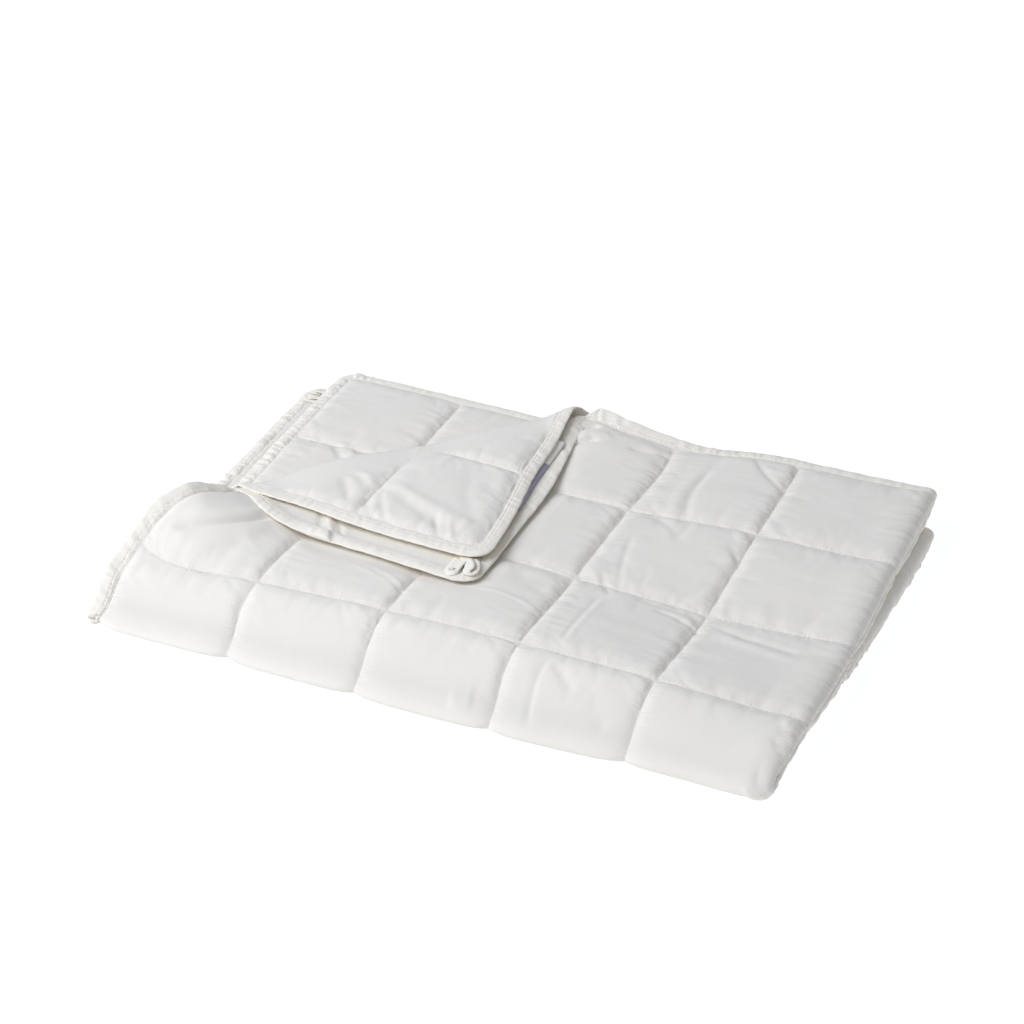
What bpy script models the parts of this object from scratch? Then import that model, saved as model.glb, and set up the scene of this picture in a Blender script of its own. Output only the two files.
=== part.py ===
"""A quilted weighted blanket, folded in four, with the back left corner of its upper half turned back.

The blanket is drawn flat first: a slab of square sewn pockets with a thin edge, and a bound edge that
wraps it. Flat places are given as P along the length, Q across the width and t through the thickness.
Every point is then carried through the folds that a hand makes:
  first fold   across the length, over the middle seam: the right edge of the folded stack;
  second fold  across the width: the near edge of the stack, four layers high;
  turned corner the two upper layers folded back over themselves along a slanting crease.
The outer layer is the half with P < 0, the inner layer the half with P > 0. Q > 0 lies on top.
Metres, +Z up, the origin on the floor under the middle of the folded blanket.
"""

import math

import bmesh
import bpy
import numpy as np
from mathutils import Quaternion, Vector

MM = 0.001

# The flat blanket
POCKET = 118 * MM  # side of one square sewn pocket
POCKETS_LONG = 10
POCKETS_WIDE = 7
BINDING_WIDTH = 12 * MM
CORNER_RADIUS = 20 * MM
CORNER_STEPS = 4
SEAM_LENGTH = POCKETS_LONG * POCKET / 2  # from the middle to the last seam
SEAM_WIDTH = POCKETS_WIDE * POCKET / 2
HALF_LENGTH = SEAM_LENGTH + BINDING_WIDTH
HALF_WIDTH = SEAM_WIDTH + BINDING_WIDTH

# Thickness, measured from the middle of the cloth to each side
SEAM_HALF = 0.9 * MM
EDGE_HALF = 0.4 * MM  # the thin edge inside the binding
CROWN_OPEN = 6.5 * MM  # a pocket that nothing lies on
CHANNEL = 14 * MM  # half width of a sewn channel
CROWN_POWER = 2.6

# Binding: a strip folded round the edge, a channel in section
BINDING_HALF = 1.6 * MM
BINDING_WALL = 0.9 * MM
GAP = 0.3 * MM  # between two pieces
BINDING_SECTION = [  # one half: in from the outside, and off the middle of the cloth
    {"in": 0.0, "off": 0.6 * MM},
    {"in": 1.6 * MM, "off": BINDING_HALF},
    {"in": BINDING_WIDTH, "off": 1.3 * MM},
    {"in": BINDING_WIDTH, "off": EDGE_HALF + GAP},
    {"in": BINDING_WALL, "off": EDGE_HALF + GAP},
]
EDGE_WIDTH = BINDING_WIDTH - BINDING_WALL - GAP

# The stack: four layers, each with the same room before the blanket settles
LAYER = 8 * MM
ROOM = LAYER / 2 - 0.25 * MM  # most half thickness between two layers

# First fold
FIRST_CLOTH = 9.5 * MM  # cloth taken by half the bend
FIRST_REACH = 7.5 * MM  # how far the bend stands out
FIRST_SLIP_TOP = 5 * MM  # the layers slip past each other, so their far edges don't meet
FIRST_SLIP_LOW = 12 * MM

# Second fold: the outer layer bends wide, the inner one tight inside it
SECOND_CLOTH = {"outer": 36 * MM, "inner": 9 * MM}
SECOND_REACH = {"outer": 34 * MM, "inner": 7 * MM}
SECOND_MEAN = (SECOND_CLOTH["outer"] + SECOND_CLOTH["inner"]) / 2
SECOND_SHIFT = 8 * MM  # the fold lies this far off the blanket's middle, so the upper half is longer
FOLD_BLEND = 250 * MM  # the two bends become one towards the first fold
FOLD_LINE_Y = 49 * MM

# The turned corner
CREASE_NORMAL = (-0.692, 0.722)
CREASE_PLACE = 522 * MM
CREASE_CLOTH = {"outer": 6.5 * MM, "inner": 26.5 * MM}
CREASE_REACH = {"outer": 4.2 * MM, "inner": 20 * MM}
CREASE_ENDS = [  # the crease's ends draw in along it, in each layer, before the crease and beyond it
    {"along": -335 * MM, "outer": 58 * MM, "inner": 38 * MM, "before": 52 * MM, "beyond": 66 * MM},
    {"along": 118 * MM, "outer": -18 * MM, "inner": -48 * MM, "before": 70 * MM, "beyond": 120 * MM},
]
DRAWN_ALONG = 115 * MM
CREASE_END_CUTS = [88 * MM, 103 * MM, 133 * MM, 148 * MM]  # finer steps where the outer layer's edge turns

# How the stack settles: its height at each column seam, as a share of four full layers
COLUMN_SEAMS_X = [-590 * MM, -472 * MM, -354 * MM, -236 * MM, -118 * MM, 0.0]
HEIGHT_ROWS = [
    {"y": 25 * MM, "share": [0.52, 0.64, 0.70, 0.75, 0.80, 0.75]},  # near fold
    {"y": 80 * MM, "share": [0.80, 1.20, 1.28, 1.34, 1.32, 1.10]},  # first row seam
    {"y": 198 * MM, "share": [0.85, 1.05, 1.02, 1.03, 0.93, 0.97]},  # second row seam
    {"y": 316 * MM, "share": [1.10, 1.10, 1.12, 1.10, 1.24, 1.25]},  # third row seam
    {"y": 446 * MM, "share": [1.12, 1.12, 1.15, 1.20, 1.36, 1.43]},  # back edge
]

# Small moves, each a soft rise round one place. They take the whole stack, its upper half (the two
# upper layers with their turned corner), its lower half, or the turned corner alone.
MOVES = [
    {"of": "all", "x": -260, "y": 81, "wide": 170, "deep": 60, "dx": 0, "dy": 5, "dz": 0},
    {"of": "all", "x": -60, "y": 161, "wide": 100, "deep": 90, "dx": 0, "dy": -7, "dz": 0},
    {"of": "all", "x": -600, "y": 15, "wide": 90, "deep": 40, "dx": 8, "dy": 2, "dz": 0},
    {"of": "all", "x": -300, "y": 8, "wide": 220, "deep": 34, "dx": 14, "dy": -7, "dz": 0},
    {"of": "all", "x": 0, "y": 15, "wide": 60, "deep": 50, "dx": -8, "dy": -4, "dz": 0},
    {"of": "upper", "x": -595, "y": 110, "wide": 75, "deep": 55, "dx": -16, "dy": 0, "dz": 0},
    {"of": "upper", "x": -585, "y": 144, "wide": 70, "deep": 50, "dx": 0, "dy": 0, "dz": 38},
    {"of": "upper", "x": -318, "y": 430, "wide": 42, "deep": 45, "dx": 0, "dy": 0, "dz": 15},
    {"of": "upper", "x": -330, "y": 190, "wide": 110, "deep": 80, "dx": 0, "dy": 0, "dz": 4},
    {"of": "lower", "x": -580, "y": 440, "wide": 230, "deep": 150, "dx": -8, "dy": 9, "dz": 0},
    {"of": "turned", "x": -320, "y": 150, "wide": 70, "deep": 60, "dx": 6, "dy": -5, "dz": 0},
]  # millimetres
BACK_SLIP = (-11 * MM, -25 * MM)  # upper and lower half, at the right, where the layers bunch a little
LOW_REACH = 8 * MM  # how far the lower bend stands out past the upper one

# Small sewn pieces of woven tape
BAND_THICK = 0.8 * MM
LOOP_WIDTH = 5 * MM
LOOP_STEPS = 24
LOOP_ROWS = [  # in from the corner's two edges, off the binding, turned about the loop
    {"in_p": 19, "in_q": 15, "lift": 0.9, "turn": 0},
    {"in_p": 15, "in_q": 7, "lift": 1.7, "turn": 20},
    {"in_p": 6, "in_q": 5, "lift": 2.4, "turn": 35},
    {"in_p": 5, "in_q": 14, "lift": 2.9, "turn": 50},
    {"in_p": 4, "in_q": 23, "lift": 2.1, "turn": 30},
    {"in_p": 13, "in_q": 23, "lift": 1.3, "turn": 10},
]  # millimetres and degrees
LABEL_WIDTH = 14 * MM
LABEL_START = 388 * MM  # places along the length of the inner layer
LABEL_JOIN = 434 * MM
LABEL_END = 518 * MM
LABEL_OUT_TOP = 7 * MM  # past the binding's edge
LABEL_OUT_TIP = 4 * MM
LABEL_UNDER = 1.85 * MM
LABEL_TILT = -10  # degrees
LABEL_STEPS = 5

FOOT_X = -305.2 * MM  # middle of the folded blanket, in the frame of the folds
FOOT_Y = 230.65 * MM


def smooth(value, low, high):
    """0 below low, 1 above high, an even curve between."""
    share = np.clip((value - low) / (high - low), 0.0, 1.0)
    return share * share * (3 - 2 * share)


def between(sizes, inner):
    """A size of the outer layer where inner is 0, and of the inner layer where it is 1."""
    return sizes["outer"] + (sizes["inner"] - sizes["outer"]) * inner


def first_fold(P, Q, t):
    """Place along the stack, height above the first fold's middle, and 0 to 1 from outer to inner."""
    turn = np.clip(P / FIRST_CLOTH, -1, 1) * math.pi / 2
    slip = FIRST_SLIP_LOW + (FIRST_SLIP_TOP - FIRST_SLIP_LOW) * smooth(Q, -80 * MM, 80 * MM)
    slip = slip * np.sign(P) * smooth(abs(P), FIRST_CLOTH, POCKET)
    straight = FIRST_CLOTH - abs(P) + slip
    x = np.where(abs(P) >= FIRST_CLOTH, straight, (FIRST_REACH + t) * np.cos(turn)) - FIRST_REACH
    height = -(LAYER / 2 + t) * np.sin(turn)
    return x, height, smooth(P, -FOLD_BLEND, FOLD_BLEND)


def second_fold(x, Q, height, inner):
    """Place across the stack, and height above the floor while every layer has its full room."""
    cloth = between(SECOND_CLOTH, inner)
    size = abs(Q + SECOND_SHIFT)
    turn = np.clip((Q + SECOND_SHIFT) / cloth, -1, 1) * math.pi / 2
    reach = between(SECOND_REACH, inner) + height - LAYER * (0.5 - inner)
    reach = reach * (1.2 - 0.2 * smooth(x, -620 * MM, -330 * MM))  # flatter towards the left
    y = np.where(size >= cloth, size - cloth, -reach * np.cos(turn)) + FOLD_LINE_Y
    return y, 2 * LAYER + (LAYER + height) * np.sin(turn)


def crease_distance(x, y):
    """How far a place lies past the crease, towards the back left."""
    return x * CREASE_NORMAL[0] + y * CREASE_NORMAL[1] - CREASE_PLACE


def turn_corner(x, y, w, Q):
    """The two upper layers past the crease bend up and lie upside down on themselves.

    Gives the place, its height, and how far it's turned, 0 to 1.
    """
    past = crease_distance(x, y)
    inner = 1 - smooth(w, 2.9 * LAYER, 3.1 * LAYER)
    cloth = between(CREASE_CLOTH, inner)
    turn = (np.clip(past / (2 * cloth), 0, 1) - 0.5) * math.pi
    radius = 4 * LAYER - w
    reach = between(CREASE_REACH, inner) + radius - LAYER * (0.5 + inner)
    turned = np.where(past > 2 * cloth, 2 * cloth - past, reach * np.cos(turn))
    on = (past > 0) & (Q > 0)
    move = np.where(on, turned - past, 0.0)
    w = np.where(on, 4 * LAYER + radius * np.sin(turn), w)
    along = x * CREASE_NORMAL[1] - y * CREASE_NORMAL[0]
    drawn = 0.0
    for end in CREASE_ENDS:
        across = np.where(past < 0, end["before"], end["beyond"])
        near = np.exp(-(((along - end["along"]) / DRAWN_ALONG) ** 2) - (past / across) ** 2)
        drawn = drawn + between(end, inner) * near
    drawn = drawn * smooth(Q, 0.0, POCKET / 2)
    x = x + move * CREASE_NORMAL[0] + drawn * CREASE_NORMAL[1]
    y = y + move * CREASE_NORMAL[1] - drawn * CREASE_NORMAL[0]
    return x, y, w, np.where(on, smooth(past, 0.0, 2 * cloth), 0.0)


def stack_share(x, y):
    """Height of the settled stack at a place, as a share of four full layers."""
    rows = []
    for row in HEIGHT_ROWS:
        share = np.full(np.shape(x), row["share"][0])
        for k in range(1, len(COLUMN_SEAMS_X)):
            rise = row["share"][k] - row["share"][k - 1]
            share = share + rise * smooth(x, COLUMN_SEAMS_X[k - 1], COLUMN_SEAMS_X[k])
        rows.append(share)
    share = rows[0]
    for k in range(1, len(rows)):
        step = smooth(y, HEIGHT_ROWS[k - 1]["y"], HEIGHT_ROWS[k]["y"])
        share = share + (rows[k] - rows[k - 1]) * step
    return share


def settle(x, y, w, turned, Q):
    """The folded stack sinks, slips and lifts a little where the real one does."""
    right = smooth(x, -170 * MM, 0.0) * smooth(y, 110 * MM, 430 * MM)
    move = np.stack([np.where(Q > 0, 0.0, LOW_REACH), np.where(Q > 0, *BACK_SLIP), 0.0 * x]) * right
    parts = {"all": 1.0, "upper": 1.0 * (Q > 0), "lower": 1.0 * (Q <= 0), "turned": turned}
    for row in MOVES:
        off = ((x / MM - row["x"]) / row["wide"]) ** 2 + ((y / MM - row["y"]) / row["deep"]) ** 2
        rise = np.exp(-off) * parts[row["of"]]
        move = move + np.stack([row["dx"] * rise, row["dy"] * rise, row["dz"] * rise]) * MM
    spot = np.stack([x - FOOT_X, y - FOOT_Y, w * stack_share(x, y)]) + move
    return np.moveaxis(spot, 0, -1)


def folded(P, Q, t):
    """A flat place carried through the three folds, before it settles."""
    x, height, inner = first_fold(P, Q, t)
    y, w = second_fold(x, Q, height, inner)
    return turn_corner(x, y, w, Q)


def gather(P, S):
    """Even steps S across the near fold, moved to where each layer bends, as places Q."""
    cloth = between(SECOND_CLOTH, smooth(P, -FOLD_BLEND, FOLD_BLEND))
    end = np.sign(S) * cloth - SECOND_SHIFT
    flat = POCKET / 2 - CHANNEL
    share = (abs(S) - SECOND_MEAN) / (flat - SECOND_MEAN)
    between_folds = end + share * (np.sign(S) * flat - end)
    inside = S * cloth / SECOND_MEAN - SECOND_SHIFT
    return np.where(abs(S) <= SECOND_MEAN, inside, np.where(abs(S) < flat, between_folds, S))


def place(P, Q, t):
    """A flat place with t in real size, carried to its place in the folded blanket."""
    x, y = folded(P, Q, np.zeros(np.shape(P)))[:2]
    return settle(*folded(P, Q, t / stack_share(x, y)), Q)


def pocket_rise(P, Q):
    """0 on a seam, 1 in the middle of a pocket, full and round between."""
    rise = 1.0
    for along, start in ((P, 0.0), (Q, POCKET / 2)):
        from_seam = abs((along - start + POCKET / 2) % POCKET - POCKET / 2)
        rise = rise * (1 - (1 - from_seam / (POCKET / 2)) ** CROWN_POWER)
    return rise


def channel_rise(P, Q):
    """0 on a seam, 1 outside its channel."""
    rise = 1.0
    for along, start in ((P, 0.0), (Q, POCKET / 2)):
        from_seam = abs((along - start + POCKET / 2) % POCKET - POCKET / 2)
        rise = rise * np.clip(from_seam / CHANNEL, 0, 1)
    return rise


def edge_distance(P, Q):
    """How far a flat place lies inside the blanket's outline, with its round corners."""
    past_p = abs(P) - (HALF_LENGTH - CORNER_RADIUS)
    past_q = abs(Q) - (HALF_WIDTH - CORNER_RADIUS)
    round_corner = CORNER_RADIUS - np.hypot(np.maximum(past_p, 0), np.maximum(past_q, 0))
    return np.where((past_p > 0) & (past_q > 0), round_corner, CORNER_RADIUS - np.maximum(past_p, past_q))


def open_share(P, Q):
    """1 where nothing lies on the blanket's outer face, 0 where another layer does."""
    x, height, inner = first_fold(P, Q, np.zeros(np.shape(P)))
    y, _ = second_fold(x, Q, height, inner)
    past = crease_distance(x, y)
    under_corner = (1 - smooth(x, -300 * MM, -275 * MM)) * smooth(y, 105 * MM, 130 * MM)
    outer_top = (1 - under_corner) * smooth(Q + SECOND_SHIFT, -20 * MM, 0.0)
    turned_over = smooth(past, 60 * MM, 85 * MM)
    inner_low = smooth(past, 20 * MM, 45 * MM)
    return np.where(P < 0, outer_top, np.where(Q > 0, turned_over, inner_low))


def half_thickness(P, Q, outside):
    """Half the blanket's thickness at a place, on its outer or inner face, before it settles."""
    x, y = folded(P, Q, np.zeros(np.shape(P)))[:2]
    share = stack_share(x, y)
    seam = SEAM_HALF / share
    rise = pocket_rise(P, Q)
    covered = seam + (ROOM - seam) * rise
    opened = seam + (CROWN_OPEN / share - seam) * rise
    free = open_share(P, Q) * outside
    size = covered + (opened - covered) * free
    on_floor = outside * (P < -FIRST_CLOTH) * (Q + SECOND_SHIFT < -SECOND_CLOTH["outer"])
    flat = seam + (LAYER / 2 - seam) * channel_rise(P, Q)
    size = np.where(on_floor > 0, flat, size)
    return np.where(edge_distance(P, Q) < BINDING_WIDTH + 0.1 * MM, EDGE_HALF / share, size)


def material(name, colour, roughness):
    """A plain cotton finish."""
    made = bpy.data.materials.new(name)
    made.use_nodes = True
    shader = made.node_tree.nodes["Principled BSDF"]
    shader.inputs["Base Color"].default_value = (*colour, 1.0)
    shader.inputs["Roughness"].default_value = roughness
    shader.inputs["Metallic"].default_value = 0.0
    return made


def add_object(name, bm, finish):
    """Closes the work on a mesh: outward faces, smooth shading, one named object."""
    bmesh.ops.recalc_face_normals(bm, faces=bm.faces)
    bmesh.ops.triangulate(bm, faces=bm.faces)
    mesh = bpy.data.meshes.new(name)
    bm.to_mesh(mesh)
    bm.free()
    mesh.materials.append(finish)
    mesh.shade_smooth()
    made = bpy.data.objects.new(name, mesh)
    bpy.context.collection.objects.link(made)
    return made


def cut(bm, faces, point, normal):
    """One straight cut through the flat work, kept whole."""
    edges = {edge for face in faces for edge in face.edges}
    verts = {vert for face in faces for vert in face.verts}
    bmesh.ops.bisect_plane(
        bm,
        geom=list(verts) + list(edges) + list(faces),
        dist=0.01 * MM,
        plane_co=point,
        plane_no=normal,
    )


def column_lines():
    """Cuts across the length: seams, the sides of their channels, pocket middles, the first fold."""
    lines = {0.0}
    for k in range(POCKETS_LONG // 2):
        for step in (CHANNEL, POCKET / 2, POCKET - CHANNEL, POCKET):
            lines.add(k * POCKET + step)
    for share in (1 / 3, 2 / 3, 1):
        lines.add(share * FIRST_CLOTH)
    return sorted(lines | {-line for line in lines})


def row_lines():
    """Cuts across the width: seams, the sides of their channels, pocket middles, the second fold."""
    lines = {0.0, POCKET / 2 - CHANNEL, POCKET / 2}
    for k in range(POCKETS_WIDE // 2):
        for step in (CHANNEL, POCKET / 2, POCKET - CHANNEL, POCKET):
            lines.add((k + 0.5) * POCKET + step)
    for share in (0.25, 0.5, 0.75, 1):
        lines.add(share * SECOND_MEAN)
    return sorted(lines | {-line for line in lines})


def crease_lines():
    """Cuts along the crease, in the outer and in the inner layer: a flat place and a direction."""
    lines = []
    for layer, side, steps in (("outer", -1, 4), ("inner", 1, 6)):
        shift_x = FIRST_CLOTH - FIRST_REACH + side * FIRST_SLIP_TOP
        shift_y = FOLD_LINE_Y + SECOND_SHIFT - SECOND_CLOTH[layer]
        normal = (-side * CREASE_NORMAL[0], CREASE_NORMAL[1], 0.0)
        for k in range(steps + 1):
            past = 2 * CREASE_CLOTH[layer] * k / steps
            along = CREASE_PLACE + past - shift_x * CREASE_NORMAL[0] - shift_y * CREASE_NORMAL[1]
            length = CREASE_NORMAL[0] ** 2 + CREASE_NORMAL[1] ** 2
            point = (normal[0] * along / length, normal[1] * along / length, 0.0)
            lines.append({"side": side, "point": point, "normal": normal})
    return lines


def turned_quarter(bm, side):
    """The faces of the upper half, of the outer layer where side is -1 and the inner where it is 1."""
    middles = [(face, face.calc_center_median()) for face in bm.faces]
    return [face for face, middle in middles if middle.x * side > 0 and middle.y > POCKET / 2]


def cut_along_folds(bm):
    """Every cut that the pockets and the folds need."""
    for line in column_lines():
        cut(bm, bm.faces[:], (line, 0, 0), (1, 0, 0))
    for line in row_lines():
        cut(bm, bm.faces[:], (0, line, 0), (0, 1, 0))
    for line in CREASE_END_CUTS:
        cut(bm, turned_quarter(bm, -1), (0, line, 0), (0, 1, 0))
    for line in crease_lines():
        cut(bm, turned_quarter(bm, line["side"]), line["point"], line["normal"])


def round_outline(bm, inset):
    """A flat face with the blanket's outline, this far inside it."""
    long = HALF_LENGTH - inset
    wide = HALF_WIDTH - inset
    corners = [bm.verts.new((sx * long, sy * wide, 0)) for sx, sy in ((-1, -1), (1, -1), (1, 1), (-1, 1))]
    face = bm.faces.new(corners)
    bmesh.ops.bevel(
        bm,
        geom=corners,
        offset=CORNER_RADIUS - inset,
        offset_type="OFFSET",
        affect="VERTICES",
        segments=CORNER_STEPS,
        profile=0.5,
        material=-1,
    )
    return face


def make_quilt():
    """The filled blanket: a slab, cut along seams and folds, crowned and folded."""
    bm = bmesh.new()
    round_outline(bm, BINDING_WIDTH - EDGE_WIDTH)
    bmesh.ops.inset_region(bm, faces=bm.faces[:], thickness=EDGE_WIDTH, use_even_offset=True)
    top = bmesh.ops.duplicate(bm, geom=bm.verts[:] + bm.edges[:] + bm.faces[:])["geom"]
    moved = [item for item in top if isinstance(item, bmesh.types.BMVert)]
    bmesh.ops.translate(bm, verts=moved, vec=(0, 0, 1))
    rims = [edge for edge in bm.edges if edge.is_boundary]
    bmesh.ops.bridge_loops(bm, edges=rims)
    cut_along_folds(bm)
    bm.verts.ensure_lookup_table()
    flat = np.array([vert.co for vert in bm.verts])
    outside = np.where(flat[:, 2] > 0.5, 1.0, 0.0)
    P = flat[:, 0]
    Q = gather(P, flat[:, 1])
    t = half_thickness(P, Q, outside) * np.where(outside > 0, 1, -1)
    for vert, spot in zip(bm.verts, settle(*folded(P, Q, t), Q)):
        vert.co = spot
    return bm


def make_binding():
    """The binding, run round the flat blanket: along each side and round each corner."""
    bm = bmesh.new()
    start = -(HALF_LENGTH - CORNER_RADIUS)
    section = [(row["in"], row["off"]) for row in BINDING_SECTION]
    section += [(inside, -off) for inside, off in reversed(section)]
    loop = [bm.verts.new((start, HALF_WIDTH - inside, off)) for inside, off in section]
    edges = [bm.edges.new((loop[k - 1], loop[k])) for k in range(len(loop))]
    long = 2 * (HALF_LENGTH - CORNER_RADIUS)
    wide = 2 * (HALF_WIDTH - CORNER_RADIUS)
    centre_x = HALF_LENGTH - CORNER_RADIUS
    centre_y = HALF_WIDTH - CORNER_RADIUS
    sides = [
        ((long, 0, 0), (centre_x, centre_y, 0)),
        ((0, -wide, 0), (centre_x, -centre_y, 0)),
        ((-long, 0, 0), (-centre_x, -centre_y, 0)),
        ((0, wide, 0), (-centre_x, centre_y, 0)),
    ]
    for run, centre in sides:
        made = bmesh.ops.extrude_edge_only(bm, edges=edges)["geom"]
        ends = [item for item in made if isinstance(item, bmesh.types.BMVert)]
        bmesh.ops.translate(bm, verts=ends, vec=run)
        edges = [item for item in made if isinstance(item, bmesh.types.BMEdge)]
        edges = [edge for edge in edges if all(vert in ends for vert in edge.verts)]
        turned = bmesh.ops.spin(
            bm,
            geom=edges + ends,
            cent=centre,
            axis=(0, 0, -1),
            angle=math.pi / 2,
            steps=CORNER_STEPS,
        )["geom_last"]
        edges = [item for item in turned if isinstance(item, bmesh.types.BMEdge)]
    bmesh.ops.remove_doubles(bm, verts=bm.verts[:], dist=0.01 * MM)
    cut_along_folds(bm)
    bm.verts.ensure_lookup_table()
    flat = np.array([vert.co for vert in bm.verts])
    P = flat[:, 0]
    Q = gather(P, flat[:, 1])
    for vert, spot in zip(bm.verts, place(P, Q, flat[:, 2])):
        vert.co = spot
    return bm


def band(name, middles, faces_up, turns, width, closed, finish):
    """A flat woven band along a path: its middle, the way it faces, and its turn about the path."""
    count = len(middles)
    bm = bmesh.new()
    rings = []
    for k in range(count):
        last = (k - 1) % count if closed else max(k - 1, 0)
        following = (k + 1) % count if closed else min(k + 1, count - 1)
        along = (middles[following] - middles[last]).normalized()
        side = faces_up[k].cross(along).normalized()
        side = Quaternion(along, math.radians(turns[k])) @ side
        face = along.cross(side)
        corners = [(1, 1), (-1, 1), (-1, -1), (1, -1)]
        spots = [middles[k] + side * (a * width / 2) + face * (b * BAND_THICK / 2) for a, b in corners]
        rings.append([bm.verts.new(spot) for spot in spots])
    edges = [[bm.edges.new((ring[j - 1], ring[j])) for j in range(4)] for ring in rings]
    pairs = [(k, k + 1) for k in range(count - 1)]
    if closed:
        pairs.append((count - 1, 0))
    else:
        bm.faces.new(rings[0])
        bm.faces.new(rings[-1])
    for a, b in pairs:
        bmesh.ops.bridge_loops(bm, edges=edges[a] + edges[b])
    return add_object(name, bm, finish)


def on_cloth(P, Q, lift):
    """A place this far off the inner face of the bound edge, and the way that face looks there."""
    middle, face = (Vector(place(np.array([P]), np.array([Q]), np.array([t]))[0]) for t in (0.0, -BINDING_HALF))
    out = (face - middle).normalized()
    return middle + out * (BINDING_HALF + lift), out


def round_path(rows, names, share):
    """A place on the smooth closed curve through a table's rows; share runs from 0 to 1."""
    count = len(rows)
    k = int(share * count)
    u = share * count - k
    weights = (-u + 2 * u * u - u**3, 2 - 5 * u * u + 3 * u**3, u + 4 * u * u - 3 * u**3, u**3 - u * u)
    rows = [rows[(k + step) % count] for step in (-1, 0, 1, 2)]
    return [sum(w * row[name] for w, row in zip(weights, rows)) / 2 for name in names]


def make_corner_loop(name, side, finish):
    """A crumpled loop of tape, sewn in at an outer corner and lying on the blanket's inner face."""
    middles, faces_up, turns = [], [], []
    for k in range(LOOP_STEPS):
        in_p, in_q, lift, turn = round_path(LOOP_ROWS, ("in_p", "in_q", "lift", "turn"), k / LOOP_STEPS)
        spot, up = on_cloth(in_p * MM - HALF_LENGTH, side * (HALF_WIDTH - in_q * MM), lift * MM)
        middles.append(spot)
        faces_up.append(up)
        turns.append(turn)
    band(name, middles, faces_up, turns, LOOP_WIDTH, True, finish)


def make_label(name, start, end, finish):
    """A bare sewn strip along the back edge of the inner layer, standing a little past the binding."""
    middles, faces_up, turns = [], [], []
    for k in range(LABEL_STEPS + 1):
        P = start + (end - start) * k / LABEL_STEPS
        past = (P - LABEL_START) / (LABEL_END - LABEL_START)
        out = LABEL_OUT_TOP + (LABEL_OUT_TIP - LABEL_OUT_TOP) * past
        spot, up = on_cloth(P, HALF_WIDTH + out - LABEL_WIDTH / 2, LABEL_UNDER)
        middles.append(spot)
        faces_up.append(up)
        turns.append(LABEL_TILT)
    band(name, middles, faces_up, turns, LABEL_WIDTH, False, finish)


def build():
    for item in list(bpy.data.objects):
        bpy.data.objects.remove(item)
    cotton = material("plain cotton cover", (0.78, 0.78, 0.76), 0.85)
    tape = material("cotton twill binding", (0.84, 0.83, 0.79), 0.8)
    satin = material("white satin label", (0.86, 0.86, 0.85), 0.5)
    ribbon = material("blue grey woven label", (0.36, 0.37, 0.45), 0.7)
    add_object("quilt", make_quilt(), cotton)
    add_object("binding", make_binding(), tape)
    make_corner_loop("corner_loop_top", 1, tape)
    make_corner_loop("corner_loop_low", -1, tape)
    make_label("care_label", LABEL_START, LABEL_JOIN - 3 * GAP, satin)
    make_label("name_label", LABEL_JOIN, LABEL_END, ribbon)


build()
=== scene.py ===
# %% [markdown]
# # A quilted weighted blanket, folded in four
# The real thing is two sheets of cotton sewn together into square pockets, each pocket holding soft
# wadding and small glass beads, with a tape folded round the edge. It lies folded in four, and the back
# left corner of its upper half is turned back over the top.
#
# The blanket is modelled flat, where every pocket is a plain square, and each point is then carried
# through the same three folds that a hand makes. That way the seams, stitches and wrinkles are drawn
# once, in flat cloth, and arrive in the right place by themselves.

import math

import bmesh
import bpy
import numpy as np
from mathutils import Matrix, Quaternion, Vector


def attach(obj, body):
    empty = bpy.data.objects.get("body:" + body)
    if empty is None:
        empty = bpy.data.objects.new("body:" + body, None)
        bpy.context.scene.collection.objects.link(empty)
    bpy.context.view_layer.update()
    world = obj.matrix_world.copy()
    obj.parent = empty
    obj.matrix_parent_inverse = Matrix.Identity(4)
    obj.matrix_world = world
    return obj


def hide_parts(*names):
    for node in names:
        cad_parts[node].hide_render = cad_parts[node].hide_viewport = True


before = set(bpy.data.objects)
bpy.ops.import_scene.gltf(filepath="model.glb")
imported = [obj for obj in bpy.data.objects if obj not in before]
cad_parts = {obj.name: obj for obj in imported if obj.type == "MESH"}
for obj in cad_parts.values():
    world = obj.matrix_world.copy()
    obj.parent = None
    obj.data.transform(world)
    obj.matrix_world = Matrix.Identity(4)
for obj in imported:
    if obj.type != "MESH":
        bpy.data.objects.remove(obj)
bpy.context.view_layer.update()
MM = 0.001
print("CAD nodes:", sorted(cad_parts))

# %% [markdown]
# ## Sizes
# A quilt is laid out from one number: the side of a sewn pocket. Ten pockets by seven, and a bound edge
# of 12 mm round them, give a blanket of 1.20 by 0.85 m. Flat places are P along the length, Q across the
# width and t through the thickness.

# %% The flat blanket
POCKET = 118 * MM
POCKETS_LONG = 10
POCKETS_WIDE = 7
BINDING_WIDTH = 12 * MM
CORNER_RADIUS = 20 * MM
SEAM_LENGTH = POCKETS_LONG * POCKET / 2
SEAM_WIDTH = POCKETS_WIDE * POCKET / 2
HALF_LENGTH = SEAM_LENGTH + BINDING_WIDTH
HALF_WIDTH = SEAM_WIDTH + BINDING_WIDTH
SEAM_HALF = 0.9 * MM
EDGE_HALF = 0.4 * MM
CROWN_OPEN = 6.5 * MM
BINDING_WALL = 0.9 * MM
GAP = 0.3 * MM
LAYER = 8 * MM
ROOM = LAYER / 2 - 0.25 * MM
print(f"flat blanket {2 * HALF_LENGTH:.3f} x {2 * HALF_WIDTH:.3f} m")

# %% [markdown]
# ## Three folds
# A fold could be made with a bend modifier, but four layers of thick quilt lie round each other, and each
# layer bends with its own radius. So the folds are short functions: the cloth is straight, then runs
# round half a circle, then is straight again on the other side. The outer layer takes more cloth for
# its bend than the inner one.


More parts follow.
